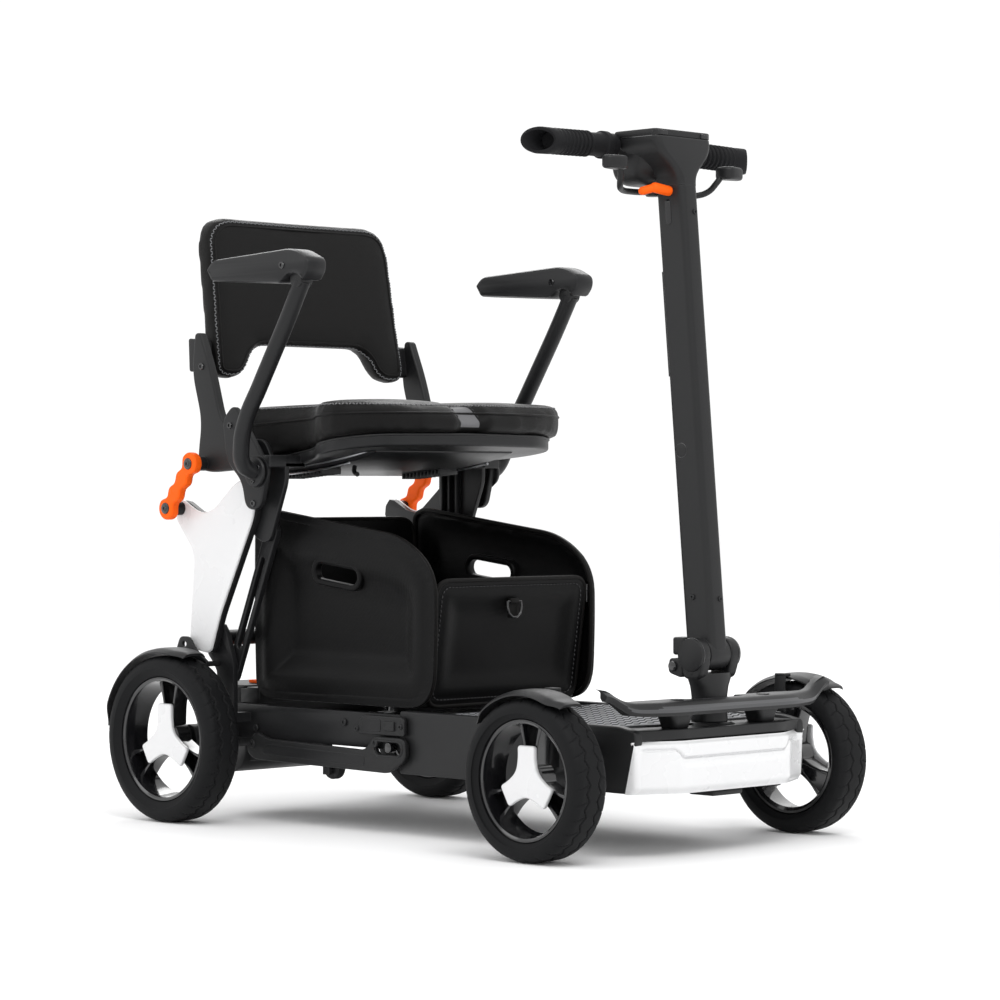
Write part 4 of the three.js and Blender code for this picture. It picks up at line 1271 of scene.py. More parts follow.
def painted_front_highlight(mesh, pale):
    """Faces that look forward take the second, paler finish: a painted highlight."""
    mesh.materials.append(CHARCOAL)
    mesh.materials.append(pale)
    for face in mesh.polygons:
        if face.normal.x > 0.62 and face.normal.z > -0.1:
            face.material_index = 1
    return mesh


posts = [softened(post_mesh(y), 1.0) for y in (-77, 77)]
caps = [knob("z", 8, (183.6, 184.8), (at(78), side * 77), 0.6, 32) for side in (-1, 1)]
# Forward-facing faces of the wing, posts and caps get the paler charcoal, a painted highlight.
bar = painted_front_highlight(joined([wing, *posts, *caps]), surfaced("charcoal_painted_highlight", (0.05, 0.051, 0.054),
                                                        0.4, 1500, 0.2))
piece("foot_wing", bar, "chassis", None, ["foot_bar"])
print("foot bar laid out with", len(wing_stations), "sections")

# %% [markdown]
# A fender is a thin crowned shell that follows the tyre. It is lofted round the wheel: each
# section is a shallow arch across the tyre with a rolled edge, and both ends thin out. The front
# ones carry a small visor lip ahead.

# %% Fenders
def fender_mesh(wheel, centre, first, last, half, lip=0.0, steps=44):
    rings = []
    for k in range(steps + 1):
        t = k / steps
        angle = math.radians(first + (last - first) * t)
        flare = lip * smooth_step(0.12, 0.0, t)
        narrow = 1 - 0.3 * smooth_step(0.16, 0.0, t) - 0.3 * smooth_step(0.84, 1.0, t)
        ring = []
        for outer in (True, False):
            for j in range(9):
                u = -1 + 2 * j / 8
                if not outer:
                    u = -u
                arch = 3.4 * (1 - abs(u) ** 3) - 3.4
                r = wheel["radius"] + 10.4 + arch + flare - (0 if outer else 3.0)
                r -= 2.0 * smooth_step(0.86, 1.0, abs(u)) if outer else 0.6
                ring.append((centre.x + r * math.cos(angle), centre.y + u * half * narrow,
                             centre.z + r * math.sin(angle)))
        rings.append(ring)
    return lofted(rings)


front = wheel_centre("front")
front_shell = fender_mesh(WHEELS["front"], front, 56, 142, 26, 4.0)
bracket_top = block((-8, 8), (200, 213), (196.5, 200.4), 1.0)
bracket_leg = block((-8, 8), (200, 204), (152.5, 199), 1.2)
both_sides("front_mudguard", joined([front_shell, bracket_top, bracket_leg]), "knuckle_{side}",
           CHARCOAL, "front_fender_{side}")
rear = wheel_centre("rear")
rear_shell = fender_mesh(WHEELS["rear"], rear, 68, 174, 26, 2.5)
stay = plate([profile([(-692, 212), (-645, 200, 6), (-626, 200, 3), (-626, 207, 3),
                       (-650, 222, 10), (-662, 238, 6), (-680, 238, 6)]),
              circle((at(-671), 228), 3.6, 24)], "side", (200.4, 205), 1.2)
stay_bridge = block((-684, -660), (201, 213), (215, 221), 1.0)
stay_foot = block((-645, -627), (180.5, 203), (200, 206), 1.2)
both_sides("rear_mudguard", joined([rear_shell, stay, stay_bridge, stay_foot]), "chassis",
           CHARCOAL, "rear_fender_{side}")
print("mudguards lofted")

# %% [markdown]
# ## Rear chassis
# Behind the deck two rails carry the seat towers, the battery box and the drive axle. Each side
# also has a latch plate and a long link bar whose slotted end slides on a pin, and the small
# rollers under the links stop the scooter tipping back.

# %% Rails, axle and battery
frame_bolts = [(screws([(x, side * 151.2, z)], (0, side, 0), 4.6), DARK_PAINT)
               for side in (-1, 1) for x, z in ((-590, 120), (-420, 136))]
dressed("rear_frame", "chassis", DARK_PAINT, 1.4, frame_bolts)
dressed("rear_axle", "chassis", DARK_PAINT, 1.6)
box_ribs = [(block((-739, -736.6), (y - 2, y + 2), (132, 166), 0.7), CHARCOAL)
            for y in range(-90, 91, 15)]
dressed("battery_box", "chassis", CHARCOAL, 2.6, box_ribs)
tab = plate([profile([(-672, -96, 6), (-634, -96, 4), (-634, -62, 4), (-672, -62, 6)]),
             profile([(-664, -88, 4), (-652, -88, 4), (-652, -70, 4),
                      (-664, -70, 4)])], "plan", (172.6, 177), 1.3, 4)
piece("battery_pull_tab", tab, "battery_tab", ORANGE, ["battery_release_tab"])

# %% Link bars, latches and rollers
slot_hole = stadium((at(-345), 108), (at(-313), 108), 15)
link_shape = profile([
    (-600, 92, 10), (-585, 80, 10), (-330, 77, 8), (-296, 96, 12),
    (-300, 122, 10), (-356, 122, 8), (-372, 104, 10), (-560, 108, 12),
    (-582, 118, 12)])
rim_line = [(p.x, 161.0, p.y) for p in stadium((at(-345), 108), (at(-313), 108), 19)]
slot_rim = tube(rim_line + rim_line[:1], 1.5, False, 3)
slide_pin = knob("y", 6.4, (150.8, 161.6), (at(-329), 109), 1.0)
channel = plate([profile([(-566, 88, 4), (-372, 84, 4), (-372, 97, 4),
                          (-560, 101, 4)])], "side", (160.2, 161.8), 0.7)
link_bolt = screws([(-586, 161, 100), (-352, 161, 114)], (0, 1, 0), 5.2)
link_parts = [plate([link_shape, slot_hole], "side", (153, 161), 2.0, 4), slot_rim, slide_pin,
              channel, link_bolt]
link_finishes = [CHARCOAL, CHARCOAL, RIM_BLACK, DARK_PAINT, DARK_PAINT]
both_sides("side_link_bar", joined(link_parts, link_finishes), "chassis", None,
           "side_link_{side}")

latch_plate = plate([profile([(-392, 124, 4), (-302, 124, 4), (-302, 148, 8),
                              (-380, 148, 8)])], "side", (152.8, 159), 1.8, 4)
latch_face = plate([profile([(-382, 128, 3), (-344, 128, 3), (-344, 144, 4),
                             (-376, 144, 4)])], "side", (158.4, 160), 0.7)
latch_knob = block((-338, -318), (158, 161.8), (130, 142), 1.2)
latch_screw = screws([(-308, 159, 136), (-388, 159, 130)], (0, 1, 0), 3.4)
both_sides("latch_plate", joined([latch_plate, latch_face, latch_knob, latch_screw],
                                 [CHARCOAL, DARK_PAINT, CHARCOAL, DARK_PAINT]),
           "chassis", None, "chassis_latch_{side}")

roller = turned([(4.6, 118.4), (10, 118.4), (12, 119.4), (14.4, 119.4), (15, 121), (15, 129),
                 (14.4, 130.6), (12, 130.6), (10, 131.6), (4.6, 131.6)],
                (at(-467), 0, 74.6), "y", 48)
both_sides("tip_roller", roller, "roller_{side}", DARK_PAINT, "anti_tip_roller_{side}")
print("rear chassis done")

# %% [markdown]
# ## Seat supports
# Each side has a leg with a white cover, a second bar inside it, and an orange link that ties the
# leg to the backrest's arm. The covers are smooth white mouldings with a plain surface.

# %% Legs, covers and inner bars
dressed("leg_frame", "legs", DARK_PAINT, 1.8)
LEG_SHAPE = [(-584, 437, 10), (-566, 444, 10), (-544, 424, 14), (-546, 396, 14), (-613, 267, 14),
             (-632, 216, 10), (-674, 222, 18), (-663, 346, 16), (-704, 394, 16), (-694, 420, 18),
             (-640, 392, 30)]
cover = plate([profile(LEG_SHAPE)], "side", (189.4, 194.5), 2.4, 6)
both_sides("white_leg_cover", cover, "legs", WHITE, "leg_cover_{side}")
bar = plate([stadium((at(-618), 190), (at(-540), 376), 22),
             stadium((at(-602), 228), (at(-556), 338), 9)], "side", (160.4, 169.6), 1.8, 4)
bar_caps = screws([(-618, 170, 190), (-540, 170, 376)], (0, 1, 0), 6.0, DARK_PAINT)
both_sides("inner_bar", joined([bar, bar_caps]), "strut_{side}", DARK_PAINT, "strut_{side}")

# %% [markdown]
# The orange link has three soft waves along each edge, like a grip, and ends in two round eyes
# that black cap screws fasten. Its outline is a line of half-widths that swell and shrink along
# the bar, so the waves are a formula and not a list.

# %% Wavy links
LINK_ENDS = ((-690, 405), (-644, 463))
LINK_WAVES = 3
LINK_END = 13.0


def wavy_outline(a, b, half=10.0, swing=1.9, steps=60):
    a, b = Vector(a), Vector(b)
    along = (b - a).normalized()
    across = Vector((-along.y, along.x))
    length = (b - a).length
    one_side, other_side = [], []
    for k in range(steps + 1):
        t = k / steps
        wave = math.cos(2 * math.pi * LINK_WAVES * t)
        near_end = max(smooth_step(0.22, 0.0, t), smooth_step(0.78, 1.0, t))
        width = half + swing * wave + (LINK_END - half) * near_end
        spot = a + along * length * t
        one_side.append(spot + across * width)
        other_side.append(spot - across * width)
    heading = math.atan2(along.y, along.x)
    end_radius = (one_side[-1] - other_side[-1]).length / 2
    far_cap = [b + Vector((math.cos(heading + math.pi / 2 - math.pi * i / 14),
                           math.sin(heading + math.pi / 2 - math.pi * i / 14))) * end_radius
               for i in range(1, 14)]
    near_cap = [a + Vector((math.cos(heading - math.pi / 2 - math.pi * i / 14),
                            math.sin(heading - math.pi / 2 - math.pi * i / 14))) * end_radius
                for i in range(1, 14)]
    return one_side + far_cap + list(reversed(other_side)) + near_cap


link = plate([wavy_outline(*[(at(x), z) for x, z in LINK_ENDS])], "side", (208.4, 221), 3.2, 6)
link_caps = [knob("y", 7.6, (220, 222.6), (at(x), z), 1.1, 40) for x, z in LINK_ENDS]
link_screws = screws([(x, 221.6, z) for x, z in LINK_ENDS], (0, 1, 0), 4.0, RIM_BLACK)
both_sides("wavy_link", joined([link, *link_caps, link_screws],
                               [ORANGE, RIM_BLACK, RIM_BLACK, RIM_BLACK]),
           "fold_link_{side}", None, "fold_link_{side}")
print("links cut with", LINK_WAVES, "waves")

# %% [markdown]
# ## Seat frame
# The pan is a shallow dish under the cushion with a rolled lip, two bright slide rails and a
# finned strip beneath. On each side a bracket drops from it: an inner plate, and an outer
# angular casting with a thick rim that carries the armrest's flange.

# %% Pan
PAN_PLAN = [(-604, 150, 14), (-474, 154, 20), (-428, 189, 30), (-388, 190, 26), (-358, 146, 40),
            (-345, 0, 90)]
PAN_RIM = 16
SEAT_SLOPE = 0.15


def sloped(mesh):
    """Tilts a level mesh with the seat, about the seat's datum station."""
    for v in mesh.vertices:
        v.co.z += SEAT_SLOPE * (v.co.x - at(-516) * MM)
    return mesh


half_plan = [(at(x), y, r) for x, y, r in PAN_PLAN]
pan_shape = outline(half_plan + [(x, -y, r) for x, y, r in reversed(half_plan[:-1])])
rim = sloped(plate([pan_shape], "plan", (476.4 - PAN_RIM, 476.4), 3.6, 5))
lip_line = outline([(x + 1.2 if x > at(-430) else x, y * 1.006, r) for x, y, r in
                    half_plan + [(x, -y, r) for x, y, r in reversed(half_plan[:-1])]])
rim_lip = sloped(plate([lip_line], "plan", (473.4, 476.4), 1.2))
box_levels = [(-600, 448), (-500, 456), (-430, 467), (-392, 477)]
pan_box = softened(lofted([[(at(x), -127, 471 + SEAT_SLOPE * (x + 516)), (at(x), -127, z + 5),
                            (at(x), -121, z), (at(x), 121, z), (at(x), 127, z + 5),
                            (at(x), 127, 471 + SEAT_SLOPE * (x + 516))] for x, z in box_levels]),
                   1.4, 0, 2, 28)
rails = [tube([(at(x), side * 127.6, z) for x, z in
               ((-560, 458), (-500, 463), (-430, 473), (-404, 478))], 1.7) for side in (-1, 1)]
low_rails = [tube([(at(x), side * 124.0, z) for x, z in
                   ((-566, 449), (-500, 454.6), (-440, 463.6))], 1.5) for side in (-1, 1)]
fins = [block((-568 + 7 * k, -565 + 7 * k), (-122, -88),
                           (443.4 + 0.6 * k, 452 + 0.6 * k), 0.6) for k in range(11)]
fins += [mirrored(fin) for fin in fins]
toggle = tube([(at(-452), -104, 459), (at(-448), -108, 452), (at(-440), -110, 449)], 3.0)
pan_parts = [rim, rim_lip, pan_box, *rails, *low_rails, *fins, toggle]
pan_finishes = [DARK_PAINT, CHARCOAL, DARK_PAINT, *[STEEL] * 4, *[CHARCOAL] * len(fins), CHARCOAL]

# %% Brackets
INNER_PLATE = [(-584, 458), (-584, 410, 14), (-560, 366, 14), (-532, 360, 14), (-500, 440, 10),
               (-500, 474), (-530, 474), (-542, 494, 12), (-582, 496, 12)]
OUTER_PLATE = [(-572, 540, 12), (-506, 458, 10), (-520, 404, 14), (-548, 404, 14),
               (-556, 440, 14), (-586, 466, 14), (-594, 520, 12)]
inner_plate = plate([profile(INNER_PLATE)], "side", (172.2, 179.4), 1.6, 4)
outer_plate = plate([profile(OUTER_PLATE)], "side", (196.2, 205.6), 2.6, 5)
flange = turned([(0.01, 203), (14, 203), (19, 204), (21.4, 205.6), (21.4, 206.4), (17, 206.6),
                 (15.4, 206), (0.01, 206)], (at(-524), 0, 452), "y", 64)
web = [block((-578, -500), (146, 179.4), (458, 464), 1.0),
       block((-514, -500), (146, 205.6), (458, 473.6), 1.4)]
casting_ribs = [block((x, x + 3), (164, 172.4), (380, 456), 0.8) for x in (-572, -558, -544)]
pivots = [knob("y", 8, (172, 206.6), (at(-561), 473), 1.0),
          knob("y", 9, (172, 189), (at(-562), 422), 1.0),
          knob("y", 6, (158.2, 179), (at(-540), 376), 1.0)]
bracket = joined([inner_plate, outer_plate, flange, *web, *casting_ribs, *pivots])
bracket_screws = screws([(-561, 206.4, 473), (-578, 205.6, 512), (-532, 205.6, 412)], (0, 1, 0),
                        4.4)
piece("seat_pan_and_brackets",
      joined([*pan_parts, bracket, mirrored(bracket), bracket_screws, mirrored(bracket_screws)],
             [*pan_finishes, DARK_PAINT, DARK_PAINT, RIM_BLACK, RIM_BLACK]),
      "seat", None, ["seat_frame"])
print("pan and brackets made")

# %% [markdown]
# ## Backrest arms and armrests
# A broad moulded arm on each side carries the backrest, kinked at the seat and again at the
# shoulder. The armrests are bent tubes with a wedge of moulded foam on top, chamfered at both
# ends, with a screw at the side and an arched slot under the front.

# %% Backrest frame
ARM_SHAPE = [(-541, 473, 14), (-561, 456, 14), (-630, 452, 8), (-657, 456, 12), (-656, 480, 10),
             (-650, 520, 20), (-669, 582, 20), (-663, 634, 5), (-652, 634, 5), (-630, 582, 20),
             (-612, 524, 14), (-590, 500, 14), (-566, 492, 14)]
arm_plate = plate([profile(ARM_SHAPE)], "side", (181.2, 194.4), 3.4, 6)
stub_pin = knob("y", 9, (190, 207.2), (at(-644), 463), 1.0)
tang = plate([profile([(-684, 584, 4), (-657, 584, 6), (-662, 626, 6),
                       (-686, 628, 4)])], "side", (152, 186), 2.0)
arm_bolts = screws([(-648, 194.6, 590), (-561, 194.6, 473)], (0, 1, 0), 4.6)


def leaned(mesh):
    """Leans an upright mesh back about a height of 620."""
    for v in mesh.vertices:
        v.co.x -= 0.16 * (v.co.z - 0.62)
    return mesh


back_shell = plate([outline([(-150, 598, 6), (-128, 598, 6), (-108, 629, 16), (108, 629, 16),
                             (128, 598, 6), (150, 598, 6), (150, 616, 10), (140, 640, 14),
                             (136, 764, 34), (-136, 764, 34), (-140, 640, 14), (-150, 616, 10)])],
                   "front", (at(-689), at(-681)), 2.4, 4)
back_ribs = [block((-691.5, -688), (y - 2.4, y + 2.4), (636, 752), 0.9)
             for y in range(-110, 111, 22)]
arm = joined([arm_plate, stub_pin, tang])
piece("backrest_arms_and_shell",
      joined([arm, mirrored(arm), arm_bolts, mirrored(arm_bolts),
              leaned(joined([back_shell, *back_ribs]))],
             [CHARCOAL, CHARCOAL, RIM_BLACK, RIM_BLACK, CHARCOAL]),
      "backrest", None, ["backrest_frame"])

# %% Armrests
tube_path = [(at(-398), 240, 690), (at(-428), 240, 640), (at(-451), 240, 604), (at(-480), 240, 559),
             (at(-506), 240, 518), (at(-519), 237, 484), (at(-525), 228, 461), (at(-524), 212, 452)]
arm_tube = tube(tube_path, 10.6, True, 8, 10)
hub_disc = turned([(0.01, 207.2), (15, 207.2), (18.4, 208.2), (19, 210), (18, 212.4), (14, 213.2),
                   (0.01, 213.2)], (at(-524), 0, 452), "y", 64)
hub_screws = screws([(-524 + 12.4 * math.cos(q), 213, 452 + 12.4 * math.sin(q))
                     for q in (0.5, 2.6, 4.7)], (0, 1, 0), 2.6)
saddle = knob("y", 11, (230, 250), (at(-401), 690), 2.0)
both_sides("armrest_bar", joined([arm_tube, hub_disc, saddle, hub_screws],
                                 [DARK_PAINT, DARK_PAINT, CHARCOAL, RIM_BLACK]),
           "armrest_{side}", None, "armrest_tube_{side}")

pad_side = profile([(-566, 709, 3), (-556, 694, 3), (-450, 687.4, 18), (-424, 686, 6),
                    (-410, 697, 14), (-394, 697, 12), (-382, 687, 4), (-371, 700, 9),
                    (-371, 715, 8), (-400, 729, 22), (-554, 721, 8)])
arm_pad = plate([pad_side], "side", (223, 257), 5.4, 1)
side_screw = [screws([(-418, 257, 708)], (0, 1, 0), 4.6, RIM_BLACK),
              screws([(-418, 223, 708)], (0, -1, 0), 4.6, RIM_BLACK)]
both_sides("armrest_wedge", joined([arm_pad, *side_screw], [DARK_PAINT, RIM_BLACK, RIM_BLACK]),
           "armrest_{side}", None, "armrest_pad_{side}")
print("backrest arms and armrests done")

# %% [markdown]
# ## Cushion and backrest
# Foam under leathercloth is crowned: it swells where nothing holds it and pulls in along its
# seams. Blender's Cloth, given pressure and no gravity, swells a closed form in just that way.
# The form starts a little small, is remeshed evenly, and no point may move more than a cap, so
# the pad keeps its outline. The seams are made afterwards, because a remesh would erase them.

# %% The swelling tool
VOXEL = 0.0055
CLOTH_FRAMES = 20
PRESSURE = 4.0


def swollen(mesh, shrink, cap):
    """The closed mesh a little smaller, then swelled as cloth, each point moving at most cap."""
    for v in mesh.vertices:
        v.co -= v.normal * shrink * MM
    obj = linked("pad", mesh)
    remesh = obj.modifiers.new("even", "REMESH")
    remesh.mode = "VOXEL"
    remesh.voxel_size = VOXEL
    even = mesh_of(obj)
    start = [v.co.copy() for v in even.vertices]
    obj = linked("pad", even)
    cloth = obj.modifiers.new("cloth", "CLOTH")
    cloth.settings.use_pressure = True
    cloth.settings.uniform_pressure_force = PRESSURE
    cloth.settings.quality = 4
    cloth.settings.mass = 0.3
    cloth.settings.effector_weights.gravity = 0
    for number in range(1, CLOTH_FRAMES + 1):
        bpy.context.scene.frame_set(number)
    swelled = mesh_of(obj)
    bpy.context.scene.frame_set(1)
    for v, before in zip(swelled.vertices, start):
        step = v.co - before
        if step.length > cap * MM:
            v.co = before + step * (cap * MM / step.length)
    return swelled


def relaxed(mesh, rounds=3):
    """Evens out the remesh's small steps, then subdivides once."""
    obj = linked("pad", mesh)
    even = obj.modifiers.new("even", "SMOOTH")
    even.iterations = rounds
    even.factor = 0.5
    finer = obj.modifiers.new("finer", "SUBSURF")
    finer.levels = finer.render_levels = 1
    made = mesh_of(obj)
    made.polygons.foreach_set("use_smooth", [True] * len(made.polygons))
    return made


def surface_of(mesh):
    return BVHTree.FromPolygons([v.co for v in mesh.vertices],
                                [tuple(f.vertices) for f in mesh.polygons])


def hit(tree, origin, direction):
    """Where a ray from outside meets the pad, or None."""
    return tree.ray_cast(metres(*origin), Vector(direction))[0]


def hits(tree, rays):
    """The places that rays of (origin, direction) meet."""
    found = [hit(tree, origin, direction) for origin, direction in rays]
    return [place for place in found if place]


# %% The cushion's form
def cushion_bottom(station):
    return 477 + SEAT_SLOPE * (station + 516)


CUSHION_PLAN = [(-628, 148), (-622, 156), (-600, 160), (-530, 161), (-482, 162), (-462, 169),
                (-442, 184), (-424, 196), (-404, 201), (-386, 200), (-372, 190), (-360, 168),
                (-349, 130), (-341, 80), (-338, 28)]


CUSHION_LOOP = CUSHION_PLAN + [(x, -y) for x, y in reversed(CUSHION_PLAN)]
CUSHION_MIDDLE = -480


def cushion_form():
    """Rings from the bottom to the top; the top drops towards the front edge."""
    rings = []
    for level, inset in ((0.0, 5), (0.1, 1), (0.35, 0), (0.62, 0), (0.82, 0.5), (0.95, 5),
                         (1.0, 13)):
        ring = []
        for x, y in CUSHION_LOOP:
            toward = Vector((CUSHION_MIDDLE - x, -y))
            spot = Vector((x, y)) + toward.normalized() * inset
            low_z = cushion_bottom(spot.x) + 0.5
            front_drop = 15 * smooth_step(-366, -338, spot.x)
            high_z = 535 + 6 * smooth_step(-560, -400, spot.x) - front_drop
            ring.append((at(spot.x), spot.y, low_z + (high_z - low_z) * level))
        rings.append(ring)
    return lofted(rings)


def fitted(mesh, node, axes):
    """Scales the mesh along the given axes until it fills the node's box."""
    node_low, node_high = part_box(node)
    for axis in axes:
        values = [v.co[axis] for v in mesh.vertices]
        low_value, high_value = min(values), max(values)
        factor = (node_high[axis] - node_low[axis]) / (high_value - low_value)
        for v in mesh.vertices:
            v.co[axis] = node_low[axis] + (v.co[axis] - low_value) * factor
    return mesh


cushion = fitted(relaxed(swollen(cushion_form(), 1.5, 4.0)), "seat_cushion", (0, 1, 2))

# %% [markdown]
# Two lobes carry the thighs, with a channel between them that a grey band covers, and the
# channel runs over the waterfall front. Points near the middle sink by a smooth share.

# %% Lobes, channel and band
BAND_HALF = 17.0


def sink_channel(mesh):
    for v in mesh.vertices:
        x = v.co.x / MM - AXLE_X
        y = v.co.y / MM
        z = v.co.z / MM
        front = smooth_step(-520, -400, x)
        upper = smooth_step(cushion_bottom(x) + 6, cushion_bottom(x) + 24, z)
        valley = math.exp(-(abs(y) / 24) ** 4)
        crown = 2.2 * math.exp(-((abs(y) - 92) / 60) ** 2) * front
        v.co.z += (crown - 7.0 * valley * front) * upper * MM
        v.co.x -= 9.0 * valley * smooth_step(-380, -345, x) * MM
        low_limit = cushion_bottom(x) + 0.3
        if v.co.z / MM < low_limit:
            v.co.z = low_limit * MM
    return mesh


def paint_band(mesh, plain, band):
    mesh.materials.clear()
    mesh.materials.append(plain)
    mesh.materials.append(band)
    for face in mesh.polygons:
        spot = face.center
        x = spot.x / MM - AXLE_X
        inside = abs(spot.y / MM) < BAND_HALF
        if inside and spot.z / MM > cushion_bottom(x) + 7 and face.normal.z > -0.5:
            face.material_index = 1
    return mesh


sink_channel(cushion)
paint_band(cushion, UPHOLSTERY, SEAT_BAND)
cushion_surface = surface_of(cushion)
print("cushion:", len(cushion.polygons), "faces")


# %% [markdown]
# ## Piping and stitches
# A seam's place is found by casting rays at the swelled pad, so it lies on the surface however
# the foam moved. A cord of piping sits in it, and the copying tree sets short stitches along it.

# %% Seams found on the pad
def resampled(points, spacing):
    """Places at an even spacing along a line of points."""
    made, carry = [], 0.0
    for a, b in zip(points, points[1:]):
        length = (b - a).length
        while carry < length:
            made.append((a + (b - a) * (carry / length), (b - a).normalized()))
            carry += spacing * MM
        carry -= length
    return made


def plan_seam(tree, level):
    """A closed seam round the cushion's side at a share of its height."""
    rays = []
    loop = [metres(at(x), y, 0) for x, y in CUSHION_LOOP + CUSHION_LOOP[:1]]
    for spot, _ in resampled(loop, 5.5):
        station = spot.x / MM - AXLE_X
        low_z = cushion_bottom(station)
        z = low_z + (540 - low_z) * level
        toward = Vector((at(CUSHION_MIDDLE) - spot.x / MM, -spot.y / MM * 1.2, 0)).normalized()
        rays.append((Vector((spot.x / MM, spot.y / MM, z)) - toward * 60, toward))
    return hits(tree, rays)


def piping(places, radius):
    """A closed cord through the places."""
    points = [tuple(p / MM) for p in places]
    return tube(points + points[:1], radius, False, 3)


def stitch_shape(length, radius=0.75, rise=0.7):
    """One stitch: a thread that leaves the cloth, arches and goes back in."""
    ring, spots = 6, []
    for k in range(5):
        t = k / 4
        x = (t - 0.5) * length
        z = rise * math.sin(math.pi * t) - 0.1
        r = radius * (0.6 + 0.4 * math.sin(math.pi * t))
        for i in range(ring):
            q = 2 * math.pi * i / ring
            spots.append(metres(x, r * math.cos(q), z + r * math.sin(q)))
    ends = [tuple(reversed(range(ring))), tuple(range(4 * ring, 5 * ring))]
    mesh = bpy.data.meshes.new("stitch")
    mesh.from_pydata(spots, [], ring_faces(5, ring) + ends)
    return mesh


def stitches(tree, places, spacing, finish, zigzag=0.0, closed=True, length=4.6):
    """Stitches along a seam, each laid on the surface and turned along the seam."""
    line = [Vector(p) for p in places]
    if closed:
        line = line + line[:1]
    spots = []
    for k, (spot, heading) in enumerate(resampled(line, spacing)):
        found, normal = tree.find_nearest(spot)[:2]
        if not found:
            continue
        if zigzag:
            across = normal.cross(heading).normalized()
            heading = (heading + across * (zigzag if k % 2 else -zigzag)).normalized()
        place = (found + normal * 0.0002) / MM
        spots.append((tuple(place), tuple(heading), tuple(normal)))
    return copies(spots, stitch_shape(length), finish), len(spots)


seam_cord = piping(plan_seam(cushion_surface, 0.64), 1.7)
edge_line = plan_seam(cushion_surface, 0.92)
edge_stitches, count = stitches(cushion_surface, edge_line, 4.4, THREAD, 0.8, length=3.2)
band_edges = []
for side in (-1, 1):
    beside = side * (BAND_HALF + 1.4)
    line = hits(cushion_surface, [((at(-600 + 4.2 * k), beside, 600), (0, 0, -1))
                                  for k in range(60)])
    sewn, more = stitches(cushion_surface, line, 6.0, DARK_THREAD, closed=False)
    band_edges.append(sewn)
    count += more
cushion_piece = piece("seat_cushion_swelled", cushion, "seat", None, ["seat_cushion"])
piece("cushion_piping", seam_cord, "seat", UPHOLSTERY, ())
piece("cushion_stitches", joined([edge_stitches, *band_edges],
                                 [THREAD, DARK_THREAD, DARK_THREAD]), "seat", None, ())
print("cushion sewn with", count, "stitches")

# %% [markdown]
# The backrest is a thin pad with two tails beside an arched opening. Its form is drawn upright,
# leaned back, and swelled less than the cushion. Zigzag stitches run all round, near the edge.

# %% Backrest pad
BACK_SHAPE = [(-168, 577, 20), (-122, 577, 20), (-98, 618, 34), (98, 618, 34), (122, 577, 20),
              (168, 577, 20), (163, 700, 60), (160, 788, 46), (-160, 788, 46), (-163, 700, 60)]


def back_front(z):
    """The station of the pad's front face at a height."""
    return -653 - 0.16 * (z - 620)


back_plate = leaned(plate([outline(BACK_SHAPE, 10)], "front", (at(-679), at(-652)), 5.0, 4))
backrest = fitted(relaxed(swollen(back_plate, 0.5, 3.0)), "backrest_pad", (1, 2))
for v in backrest.vertices:
    z = v.co.z / MM
    rear_limit = (at(-680.0) - 0.16 * (z - 620)) * MM
    v.co.x = max(v.co.x, rear_limit)
backrest_surface = surface_of(backrest)


def back_seam(tree, inset):
    """A line on the pad's front, that far in from its outline."""
    line = inset_outline(outline(BACK_SHAPE, 16), inset)
    return hits(tree, [((at(back_front(z)) + 40, y, z), (-1, 0, 0)) for y, z in line])


zig, zig_count = stitches(backrest_surface, back_seam(backrest_surface, 4.2), 3.6, THREAD, 0.9,
                          length=3.6)
edge_cord = piping(back_seam(backrest_surface, 9.0), 1.3)
back_piece = piece("backrest_pad_swelled", backrest, "backrest", UPHOLSTERY, ["backrest_pad"])
piece("backrest_piping", joined([edge_cord, zig], [UPHOLSTERY, BEVEL_GREY]), "backrest", None, ())
print("backrest sewn with", zig_count, "stitches")

# %% [markdown]
# ## Cargo bag
# The bag is stiffened cloth: two tall side panels with bound edges, a lower front pocket, a rear
# panel and a floor. Each panel is one curved sheet over a grid, bulged by a formula, with
# rounded corners, so it sags like cloth on a board. Its top edge is a slope with a round corner.

# %% Panel outline
SIDE_PANEL = [(-598, 159, 30), (-268, 159, 52), (-263, 250, 60), (-264, 330, 46), (-322, 372, 54),
              (-450, 388, 60), (-578, 405, 22), (-600, 396, 20), (-601, 280, 40)]
BAG_HALF = 143.0


def inside_share(u, v, shape):
    """Distance from the panel's edge, in millimetres, for a point inside it."""
    best = 1e9
    for i, a in enumerate(shape):
        b = shape[(i + 1) % len(shape)]
        span = b - a
        share = max(0.0, min(1.0, ((u - a.x) * span.x + (v - a.y) * span.y)
                             / max(span.length_squared, 1e-9)))
        spot = a + span * share
        best = min(best, math.hypot(u - spot.x, v - spot.y))
    return best


# %% A panel as a curved sheet
def filled_grid(shape, hole, cell):
    """A flat panel cut into small faces, with a hole if it has one; its depth is the third axis."""
    curve = flat_curve("panel", [shape, hole] if hole else [shape])
    mesh = mesh_of(linked("panel", curve))
    work = bmesh.new()
    work.from_mesh(mesh)
    bmesh.ops.remove_doubles(work, verts=work.verts, dist=0.00005)
    step = cell * MM
    ends = [(min(v.co[axis] for v in work.verts), max(v.co[axis] for v in work.verts))
            for axis in (0, 1)]
    for (first, last), across in zip(ends, (Vector((1, 0, 0)), Vector((0, 1, 0)))):
        for k in range(1, int((last - first) / step) + 1):
            bmesh.ops.bisect_plane(work, geom=[*work.verts, *work.edges, *work.faces],
                                   plane_co=across * (first + k * step), plane_no=across)
    work.to_mesh(mesh)
    work.free()
    return mesh


HANDLE_SLOT = ((-474, 326), (-416, 319))
SLOT_WIDTH = 21.0


